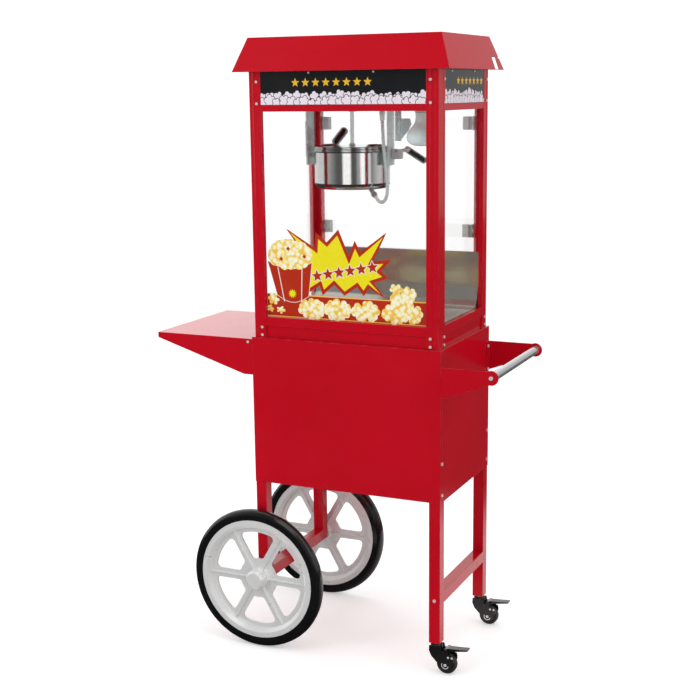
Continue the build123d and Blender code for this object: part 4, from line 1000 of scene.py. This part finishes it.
@dataclass
class WindowPrint:
    """Art printed on the front pane, seen from both sides. Sizes are in millimetres unless said."""

    palette: Palette
    seed: int = 11
    layer: float = 0.00006  # metres
    stand_off: float = 0.0006  # metres
    burst: list[Point2] = field(default_factory=lambda: [
        (-161, 1112), (-82, 1066), (-79, 1105), (-49, 1081), (-17, 1114), (11, 1050), (27, 1088), (42, 1060),
        (112, 1111), (76, 1040), (124, 1045), (96, 1015), (118, 1000), (78, 986), (106, 950), (64, 972),
        (50, 952), (32, 974), (-2, 950), (-30, 976), (-62, 948), (-70, 972), (-112, 946), (-104, 1000),
        (-136, 1012), (-108, 1042)])
    burst_edge: float = 8.4
    band: tuple = (-217.5, 217.5, 886.4, 946.0)
    line_width: float = 2.6
    line_gap: float = 0.6
    # middle, width, height and number of lobes of each heap
    heaps: list[tuple] = field(default_factory=lambda: [
        ((-91, 911), 42, 27, 11), ((-20, 913), 42, 27, 11), ((55, 913), 42, 27, 11),
        ((-199, 932), 16, 15, 6), ((-209, 907), 9, 9, 5), ((-180, 905), 13, 10, 5),
        ((173, 916), 34, 26, 9), ((134, 912), 40, 25, 11), ((150, 944), 31, 26, 9),
        ((168, 962), 20, 19, 7), ((136, 972), 16, 15, 6)])
    star_count: int = 6
    first_star: Point2 = (-76, 996)
    star_step: Point2 = (30, 5.6)
    star_sizes: tuple = (19.0, 9.2, 15.6, 7.0)
    star_turn: float = 96.0

    def __post_init__(self) -> None:
        """Find the pane."""
        self.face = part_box("window_panes")[0].y - self.stand_off
        self.rng = random.Random(self.seed)

    def _place(self) -> Matrix:
        """Frame of the print: first axis +X, second axis +Z, third axis towards the front."""
        return facing((MACHINE_X, self.face, 0.0), (0, -1, 0), (1, 0, 0))

    def _layer(self, parts: MeshParts, outline: Sequence[Point2], level: int, slot: int) -> None:
        """Add one ink layer, thicker than the layers under it so that it shows on both sides.

        Args:
            parts: Where it goes.
            outline: Corners in millimetres.
            level: Its place in the stack, from 0.
            slot: Material index.
        """
        half = self.layer * (level + 1)
        parts.plate([(x * MM, z * MM) for x, z in outline], self._place(), -half, half, slot)

    def _heap(self, centre: Point2, wide: float, tall: float, count: int) -> list[Point2]:
        """Lobed outline of a heap of popped corn, in millimetres."""
        lobes = [(centre[0], centre[1], 0.62 * min(wide, tall))]
        for n in range(count):
            angle = 2 * math.pi * (n + self.rng.uniform(-0.2, 0.2)) / count
            x = centre[0] + 0.72 * wide * math.cos(angle)
            y = centre[1] + 0.70 * tall * math.sin(angle)
            lobes.append((x, y, min(wide, tall) * self.rng.uniform(0.27, 0.40)))
        return lobed_outline(lobes, steps=120)

    @staticmethod
    def _dress(parts: MeshParts, name: str, *inks: bpy.types.Material) -> None:
        """Make one piece of the print, which rides on the cart.

        Args:
            parts: Its layers.
            name: Its name.
            inks: Its inks, by material index.
        """
        dress(parts.build(name, inks, False), "cart", Slot.SIGN)

    def build_burst(self) -> None:
        """Starburst: red outline with yellow inside."""
        parts = MeshParts()
        self._layer(parts, self.burst, 1, 0)
        self._layer(parts, inset(self.burst, self.burst_edge), 2, 1)
        self._dress(parts, "window_starburst", self.palette.ink_red, self.palette.ink_yellow)

    def build_band(self) -> None:
        """Red band along the foot with a yellow line at each edge."""
        x0, x1, z0, z1 = self.band
        parts = MeshParts()
        self._layer(parts, [(x0, z0), (x1, z0), (x1, z1), (x0, z1)], 0, 0)
        for low in (z0 + self.line_gap, z1 - self.line_width):
            high = low + self.line_width
            self._layer(parts, [(x0, low), (x1, low), (x1, high), (x0, high)], 3, 1)
        self._dress(parts, "window_band", self.palette.ink_red, self.palette.ink_line)

    def build_heaps(self) -> None:
        """Popped corn along the band and in the corner."""
        parts = MeshParts()
        for n, (centre, wide, tall, count) in enumerate(self.heaps):
            self._layer(parts, self._heap(centre, wide, tall, count), 4 + n % 4, 0)
        self._dress(parts, "window_popcorn", self.palette.popcorn)

    def build_box(self) -> None:
        """Tapered box with a curved mouth and foot, stripes, a small starburst and popped corn on top."""
        parts = MeshParts()

        def arc(x0: float, x1: float, z: float, sag: float, steps: int = 10) -> list[Point2]:
            """Points of a shallow arc between two places at one height."""
            return [(x0 + (x1 - x0) * n / steps, z - sag * math.sin(math.pi * n / steps))
                    for n in range(steps + 1)]

        mouth = arc(-216, -89, 1030, 19)
        outer = mouth + arc(-100, -190, 942, 17)
        self._layer(parts, outer, 4, 1)
        self._layer(parts, inset(outer, 1.4), 5, 0)
        for top, foot in ((-186, -169), (-118, -121)):
            stripe = [(top - 1.2, 1013), (top + 1.2, 1013), (foot + 1.2, 927), (foot - 1.2, 927)]
            self._layer(parts, stripe, 6, 1)
        self._layer(parts, star_outline((-146, 948), 12, 7, 11), 7, 2)
        self._layer(parts, self._heap((-152, 1046), 69, 38, 17), 8, 3)
        for x, z in ((-156, 1061), (-111, 1043), (-176, 1035)):
            self._layer(parts, star_outline((x, z), 7.5, 3.2, 7, 70), 9, 0)
        self._dress(parts, "window_popcorn_box", self.palette.ink_red, self.palette.ink_white,
                    self.palette.ink_yellow, self.palette.popcorn)

    def build_stars(self) -> None:
        """Row of plain stars across the starburst, in red with a white edge."""
        parts = MeshParts()
        (x, z), (right, up) = self.first_star, self.star_step
        tip, notch, inner_tip, inner_notch = self.star_sizes
        for n in range(self.star_count):
            centre = (x + right * n, z + up * n)
            self._layer(parts, star_outline(centre, tip, notch, turn=self.star_turn), 10, 1)
            self._layer(parts, star_outline(centre, inner_tip, inner_notch, turn=self.star_turn), 11, 0)
        self._dress(parts, "window_stars", self.palette.ink_red, self.palette.ink_white)

    def build(self) -> None:
        """Build the whole print."""
        self.build_band()
        self.build_burst()
        self.build_heaps()
        self.build_box()
        self.build_stars()


@dataclass
class SignPrint:
    """Clouds of popped corn and a row of stars on one sign panel, in metres."""

    palette: Palette
    name: str
    origin: Point3
    normal: Point3
    across: Point3
    width: float
    height: float
    seed: int
    stars: tuple = (0.30, 0.60)  # where the row of stars starts and ends, as shares of the width
    margin: float = 0.0004
    foot: float = 0.0006
    strip: float = 0.010
    underside: float = 0.00002
    strip_top: float = 0.00006
    star_top: float = 0.0002
    core: float = 0.0075
    lobe: float = 0.0052
    spread: float = 0.0082
    border: float = 0.0014
    puff_rows: tuple = ((0.0215, 0.013, 0.023), (0.0195, 0.003, 0.010))  # gap, lowest, highest
    star_pitch: float = 0.024
    star_height: float = 0.66
    star_radii: Point2 = (0.0112, 0.0050)

    def _puff(self, rng: random.Random, centre: Point2, side: float) -> list[tuple[list[Point2], int]]:
        """One printed puff of popped corn.

        Args:
            rng: Seeded random source.
            centre: Its middle, in metres.
            side: Half width of the print.

        Returns:
            Its black outline and its pale face, each with a material index.
        """
        size = rng.uniform(0.85, 1.15)
        lobes = [(centre[0], centre[1], self.core * size)]
        turn = rng.uniform(0.0, 2.0)
        for n in range(5):
            angle = turn + 2 * math.pi * n / 5
            away = self.spread * size
            lobes.append((centre[0] + away * math.cos(angle), centre[1] + away * math.sin(angle),
                          self.lobe * size * rng.uniform(0.85, 1.15)))
        made = []
        for grow, slot in ((self.border, 1), (0.0, 0)):
            outline = lobed_outline(lobes, grow, 60, self.foot)
            made.append(([(max(-side, min(side, x)), y) for x, y in outline], slot))
        return made

    def build(self) -> None:
        """Build the print on its panel."""
        rng = random.Random(self.seed)
        place = facing(self.origin, self.normal, self.across)
        parts = MeshParts()
        side = self.width / 2 - self.margin
        strip = [(-side, self.foot), (side, self.foot), (side, self.strip), (-side, self.strip)]
        parts.plate(strip, place, self.underside, self.strip_top, 0)
        level = 0
        for gap, low, high in self.puff_rows:
            x = -side + 0.006
            while x < side - 0.004:
                for outline, slot in self._puff(rng, (x, rng.uniform(low, high)), side):
                    thick = 0.00008 + 0.00001 * level + (0.000005 if slot == 0 else 0.0)
                    parts.plate(outline, place, self.underside, thick, slot)
                x += gap * rng.uniform(0.8, 1.2)
                level += 1
        first, last = self.stars
        count = max(2, round((last - first) * self.width / self.star_pitch))
        for n in range(count):
            at = -self.width / 2 + self.width * (first + (last - first) * n / (count - 1))
            star = star_outline((at, self.height * self.star_height), *self.star_radii)
            parts.plate(star, place, self.underside, self.star_top, 2)
        inks = [self.palette.ink_cloud, self.palette.ink_black, self.palette.ink_star]
        made = parts.build(self.name, inks, False)
        dress(made, "cart", Slot.SIGN)


# ------------------------------------------------------------------------------------------ kettle and lamp
@dataclass
class Conduit:
    """Flexible spiral-wound conduit from the ceiling fitting to the kettle."""

    palette: Palette
    diameter: float = 0.009
    length: float = 0.238
    pitch: float = 0.0022
    groove: float = 0.00035
    rings: int = 6  # rings of the tube in one turn of the winding
    route: list[Point3] = field(default_factory=lambda: [
        (57.0, -60.0, 1375.0), (58.0, -60.0, 1340.0), (61.5, -60.0, 1296.0), (67.0, -60.5, 1252.0),
        (70.0, -59.0, 1212.0), (66.0, -56.0, 1186.0), (55.0, -52.5, 1172.0), (40.5, -48.0, 1173.0),
        (30.0, -44.0, 1186.0)])

    def centreline(self) -> list[Vector]:
        """Points along the route's smooth spline, in metres."""
        curve = bpy.data.curves.new("conduit_route", "CURVE")
        curve.dimensions = "3D"
        curve.resolution_u = 24
        spline = curve.splines.new("NURBS")
        spline.points.add(len(self.route) - 1)
        for point, (x, y, z) in zip(spline.points, self.route):
            point.co = (x * MM + MACHINE_X, y * MM, z * MM, 1.0)
        spline.order_u = 3
        spline.use_endpoint_u = True
        holder = bpy.data.objects.new("conduit_route", curve)
        bpy.context.scene.collection.objects.link(holder)
        bpy.context.view_layer.update()
        mesh = bpy.data.meshes.new_from_object(holder)
        points = [v.co.copy() for v in mesh.vertices]
        bpy.data.objects.remove(holder)
        bpy.data.meshes.remove(mesh)
        return points

    def build(self) -> None:
        """Build the conduit along its bent route between the ceiling and the kettle."""
        coarse = self.centreline()
        walked = [0.0]
        for a, b in zip(coarse, coarse[1:]):
            walked.append(walked[-1] + (b - a).length)
        step = self.pitch / self.rings
        count = round(walked[-1] / step)
        path: list[Vector] = []
        at = 0
        for n in range(count + 1):
            target = walked[-1] * n / count
            while at < len(walked) - 2 and walked[at + 1] < target:
                at += 1
            share = (target - walked[at]) / (walked[at + 1] - walked[at])
            path.append(coarse[at].lerp(coarse[at + 1], share))
        radii = [self.diameter / 2 - self.groove * (1 - math.sin(math.pi * (n % self.rings) / self.rings))
                 for n in range(count + 1)]
        parts = MeshParts()
        parts.tube(path, radii, 24)
        made = parts.build("flexible_conduit", [self.palette.bracket])
        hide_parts("kettle_conduit")
        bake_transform(made)
        [tuple(p) for p in coarse]
        LOG.info("flexible_conduit is %.3f m long", walked[-1])


@dataclass
class Lamp:
    """Reflector bulb with a rounded face, waist and neck."""

    palette: Palette
    face_radius: float = 0.038
    profile: tuple = (
        (0.0, 0.0), (0.22, 0.003), (0.43, 0.014), (0.62, 0.036), (0.78, 0.072), (0.90, 0.124), (0.97, 0.190),
        (1.0, 0.270), (0.985, 0.345), (0.93, 0.420), (0.83, 0.495), (0.71, 0.560), (0.60, 0.620),
        (0.52, 0.675), (0.465, 0.730), (0.44, 0.80), (0.43, 0.90), (0.43, 1.0), (0.0, 1.0))

    def build(self) -> None:
        """Build the bulb in the place of its CAD node."""
        low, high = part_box("lamp_bulb")
        centre = (low + high) / 2
        height = high.z - low.z
        parts = MeshParts()
        place = Matrix.Translation((centre.x, centre.y, low.z))
        parts.lathe([(r * self.face_radius, h * height) for r, h in self.profile], place, 64)
        made = parts.build("reflector_bulb", [self.palette.lamp])
        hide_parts("lamp_bulb")
        dress(made, "cart", Slot.LAMP)


@dataclass
class CasterTrim:
    """Rivets and ribbed pad of one caster."""

    palette: Palette
    prefix: str
    # right and up from the wheel's middle, radius and depth of each rivet
    rivets: tuple = ((0.0, 0.0, 0.0040, 0.0170), (0.008, 0.022, 0.0028, 0.0167),
                     (0.018, 0.022, 0.0028, 0.0167))
    arc_outer: float = 0.0098
    arc_inner: float = 0.0078
    rib_count: int = 6
    rib_pitch: float = 0.0038
    rib_half: Point2 = (0.0008, 0.009)
    first_rib: Point2 = (0.0035, 0.0021)  # back and down from the pedal's tip
    pedal_slope: Point2 = (0.004, 0.023)
    rib_fall: float = 0.45

    def build(self) -> None:
        """Build the trim on the fork and on the pedal."""
        low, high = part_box(f"{self.prefix}_caster_fork")
        middle = (low.y + high.y) / 2
        wheel_low, wheel_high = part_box(f"{self.prefix}_caster_wheel")
        centre = (wheel_low + wheel_high) / 2
        rivets = MeshParts()
        for side in (-1, 1):
            for right, up, radius, depth in self.rivets:
                at = (centre.x + right, middle + side * depth, centre.z + up)
                head = [(0, -0.0006), (radius, -0.0006), (radius, 0.0002), (0.8 * radius, 0.0007),
                        (0, 0.0009)]
                rivets.lathe(head, facing(at, (0, side, 0), (1, 0, 0)), 24)
            at = (centre.x, middle + side * self.rivets[0][3], centre.z)
            place = facing(at, (0, side, 0), (1, 0, 0))
            turns = [math.radians(150 + 10 * n) for n in range(21)]
            arc = [(self.arc_outer * math.cos(a), self.arc_outer * math.sin(a)) for a in turns]
            arc += [(self.arc_inner * math.cos(a), self.arc_inner * math.sin(a)) for a in reversed(turns)]
            rivets.plate(arc, place, -0.0004, 0.0003)
        made = rivets.build(f"{self.prefix}_caster_rivets", [self.palette.zinc])
        dress(made, f"{self.prefix}_caster_fork", Slot.ZINC)

        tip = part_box(f"{self.prefix}_brake_pedal")[1]
        ribs = MeshParts()
        slope = math.atan2(*self.pedal_slope)
        wide, long = self.rib_half
        rib = [(-wide, -long), (wide, -long), (wide, long), (-wide, long)]
        for n in range(self.rib_count):
            x = tip.x - self.first_rib[0] - self.rib_pitch * n
            z = tip.z - self.first_rib[1] - (tip.x - x) * math.tan(slope) * self.rib_fall
            place = facing((x, middle, z), (-math.sin(slope), 0, math.cos(slope)), (1, 0, 0))
            ribs.plate(rib, place, -0.001, 0.0016)
        made = ribs.build(f"{self.prefix}_pedal_ribs", [self.palette.caster], False)
        dress(made, f"{self.prefix}_brake_pedal", Slot.CASTER)


# ------------------------------------------------------------------------------------------ studio
@dataclass(frozen=True)
class SoftLight:
    """One square area light, left out of reflections."""

    name: str
    at: Point3
    size: float
    power: float
    aim: Point3 = (0.0, 0.0, 0.8)

    def build(self) -> None:
        """Build the light, facing the cart."""
        data = bpy.data.lights.new(self.name, "AREA")
        data.size = self.size
        data.energy = self.power
        lamp = bpy.data.objects.new(self.name, data)
        bpy.context.scene.collection.objects.link(lamp)
        lamp.location = self.at
        lamp.rotation_mode = "QUATERNION"
        lamp.rotation_quaternion = (Vector(self.aim) - Vector(self.at)).to_track_quat("-Z", "Y")
        lamp.visible_glossy = False
        lamp.visible_transmission = False


@dataclass
class Studio:
    """Pale floor, soft lights, plain surroundings and the camera."""

    camera_at: Point3 = (1.3845, -3.0209, 1.4464)
    yaw: float = 24.573
    pitch: float = -11.388
    roll: float = -0.675
    lens: float = 66.11
    sensor: float = 36.0
    floor_size: float = 22.0
    floor_tone: float = 0.93
    floor_middle: Point3 = (0.60, 0.45, 0.0)
    floor_fade: Point2 = (0.35, 0.90)
    floor_far: float = 0.03
    floor_lift: float = 0.32
    backdrop: float = 1.12
    ambient: float = 0.74
    # azimuth in degrees and brightness; brightness is blended between them
    surroundings: list[Point2] = field(default_factory=lambda: [
        (-180, 0.75), (180, 0.75), (-159, 0.80), (-147, 0.50), (-115, 0.12), (-97, 0.12), (-95, 1.30),
        (-72, 1.30), (-70, 0.10), (-54, 0.14), (-52, 0.42), (-43, 0.45), (-41, 1.40), (-25, 1.40),
        (-22, 0.90), (-10, 0.90), (-8, 0.28), (24, 0.70), (53, 0.45), (68, 0.35), (100, 0.80), (122, 1.30),
        (140, 0.85)])
    lights: tuple[SoftLight, ...] = (
        SoftLight("key", (-1.9, -3.2, 2.9), 1.8, 30.0), SoftLight("fill", (3.2, -0.9, 2.4), 1.8, 12.0),
        SoftLight("overhead", (0.0, 0.2, 3.6), 2.5, 26.0))

    def build_floor(self) -> None:
        """Pale matte floor; in reflections it darkens away from the cart, as a real studio floor does."""
        half = self.floor_size / 2
        corners = [(-half, -half, 0.0), (half, -half, 0.0), (half, half, 0.0), (-half, half, 0.0)]
        made = mesh_object("floor", corners, [(0, 1, 2, 3)], False)
        material = bpy.data.materials.new("pale_floor")
        material.use_nodes = True
        tree = material.node_tree
        shader = tree.nodes["Principled BSDF"]
        shader.inputs["Roughness"].default_value = 0.7
        shader.inputs["Specular IOR Level"].default_value = 0.1
        shader.inputs["Emission Color"].default_value = (1.0, 1.0, 1.0, 1.0)
        coords = tree.nodes.new("ShaderNodeTexCoord")
        away = wire(tree, "ShaderNodeVectorMath",
                    {0: coords.outputs["Object"], 1: self.floor_middle}, "DISTANCE")
        near, far = self.floor_fade
        fade = wire(tree, "ShaderNodeMapRange",
                    {"Value": away.outputs["Value"], "From Min": near, "From Max": far,
                     "To Min": 1.0, "To Max": self.floor_far})
        fade.interpolation_type = "SMOOTHSTEP"
        path = tree.nodes.new("ShaderNodeLightPath")
        seen = wire(tree, "ShaderNodeMix",
                    {0: reflected(tree, path), 2: self.floor_tone, 3: fade.outputs["Result"]})
        tree.links.new(seen.outputs[0], shader.inputs["Base Color"])
        direct = maths(tree, "MAXIMUM", path.outputs["Is Camera Ray"], path.outputs["Is Transmission Ray"])
        tree.links.new(maths(tree, "MULTIPLY", direct, self.floor_lift), shader.inputs["Emission Strength"])
        made.data.materials.append(material)

    def build_world(self) -> None:
        """Plain pale surroundings; reflections see soft darker bands as in a studio."""
        world = bpy.data.worlds.new("studio")
        bpy.context.scene.world = world
        world.use_nodes = True
        tree = world.node_tree
        back = tree.nodes["Background"]
        coords = tree.nodes.new("ShaderNodeTexCoord")
        split = wire(tree, "ShaderNodeSeparateXYZ", {0: coords.outputs["Generated"]})
        turn = maths(tree, "ARCTAN2", split.outputs["Y"], split.outputs["X"])
        share = wire(tree, "ShaderNodeMapRange", {"Value": turn, "From Min": -math.pi, "From Max": math.pi})
        ramp = wire(tree, "ShaderNodeValToRGB", {"Fac": share.outputs["Result"]})
        elements = ramp.color_ramp.elements
        for n, (degrees, value) in enumerate(self.surroundings):
            if n < 2:
                element = elements[n]
                element.position = (degrees + 180) / 360
            else:
                element = elements.new((degrees + 180) / 360)
            element.color = (value, value, value, 1.0)
        path = tree.nodes.new("ShaderNodeLightPath")
        lit = wire(tree, "ShaderNodeMix",
                   {0: path.outputs["Is Diffuse Ray"], 2: self.backdrop, 3: self.ambient})
        chosen = wire(tree, "ShaderNodeMix",
                      {0: reflected(tree, path), 2: lit.outputs[0], 3: ramp.outputs["Color"]})
        tree.links.new(chosen.outputs[0], back.inputs["Strength"])
        back.inputs["Color"].default_value = (1.0, 1.0, 1.0, 1.0)

    def build_camera(self) -> None:
        """Camera at the reference viewing angle."""
        yaw, pitch, roll = (math.radians(v) for v in (self.yaw, self.pitch, self.roll))
        look = Vector((-math.sin(yaw) * math.cos(pitch), math.cos(yaw) * math.cos(pitch), math.sin(pitch)))
        right = Vector((math.cos(yaw), math.sin(yaw), 0.0))
        up = right.cross(look)
        right, up = right * math.cos(roll) + up * math.sin(roll), up * math.cos(roll) - right * math.sin(roll)
        data = bpy.data.cameras.new("camera")
        data.lens = self.lens
        data.sensor_width = self.sensor
        camera = bpy.data.objects.new("camera", data)
        bpy.context.scene.collection.objects.link(camera)
        basis = Matrix((right, up, -look)).transposed().to_4x4()
        camera.matrix_world = Matrix.Translation(Vector(self.camera_at)) @ basis
        bpy.context.scene.camera = camera

    def build(self) -> None:
        """Build the whole studio."""
        bpy.context.scene.view_settings.view_transform = "Standard"
        self.build_camera()
        self.build_world()
        self.build_floor()
        for light in self.lights:
            light.build()


def sign_prints(palette: Palette) -> list[SignPrint]:
    """Prints for the front, left and right sign panels.

    Args:
        palette: The materials.

    Returns:
        One print for each panel.
    """
    low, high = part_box("sign_panels")
    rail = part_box("frame_rails")[1].z
    tall = high.z - rail
    front_wide = 2 * 0.218
    side_y = (-0.1346, 0.148)
    side_wide = side_y[1] - side_y[0]
    side_mid = sum(side_y) / 2
    return [
        SignPrint(palette, "front_sign_print", (MACHINE_X, low.y, rail), (0, -1, 0), (1, 0, 0),
                  front_wide, tall, 3, (0.22, 0.66)),
        SignPrint(palette, "right_sign_print", (high.x, side_mid, rail), (1, 0, 0), (0, 1, 0),
                  side_wide, tall, 5, (0.32, 0.92)),
        SignPrint(palette, "left_sign_print", (low.x, side_mid, rail), (-1, 0, 0), (0, -1, 0),
                  side_wide, tall, 7, (0.10, 0.70)),
    ]


def main() -> None:
    """Build the studio, the finishes and every piece, in order."""
    logging.basicConfig(level=logging.INFO, format="%(name)s: %(message)s")
    Studio().build()
    palette = Palette()
    palette.dress_frame()
    Conduit(palette).build()
    WindowPrint(palette).build()
    for sign in sign_prints(palette):
        sign.build()
    Lamp(palette).build()
    for prefix in ("front", "rear"):
        CasterTrim(palette, prefix).build()


if __name__ == "__main__":
    main()
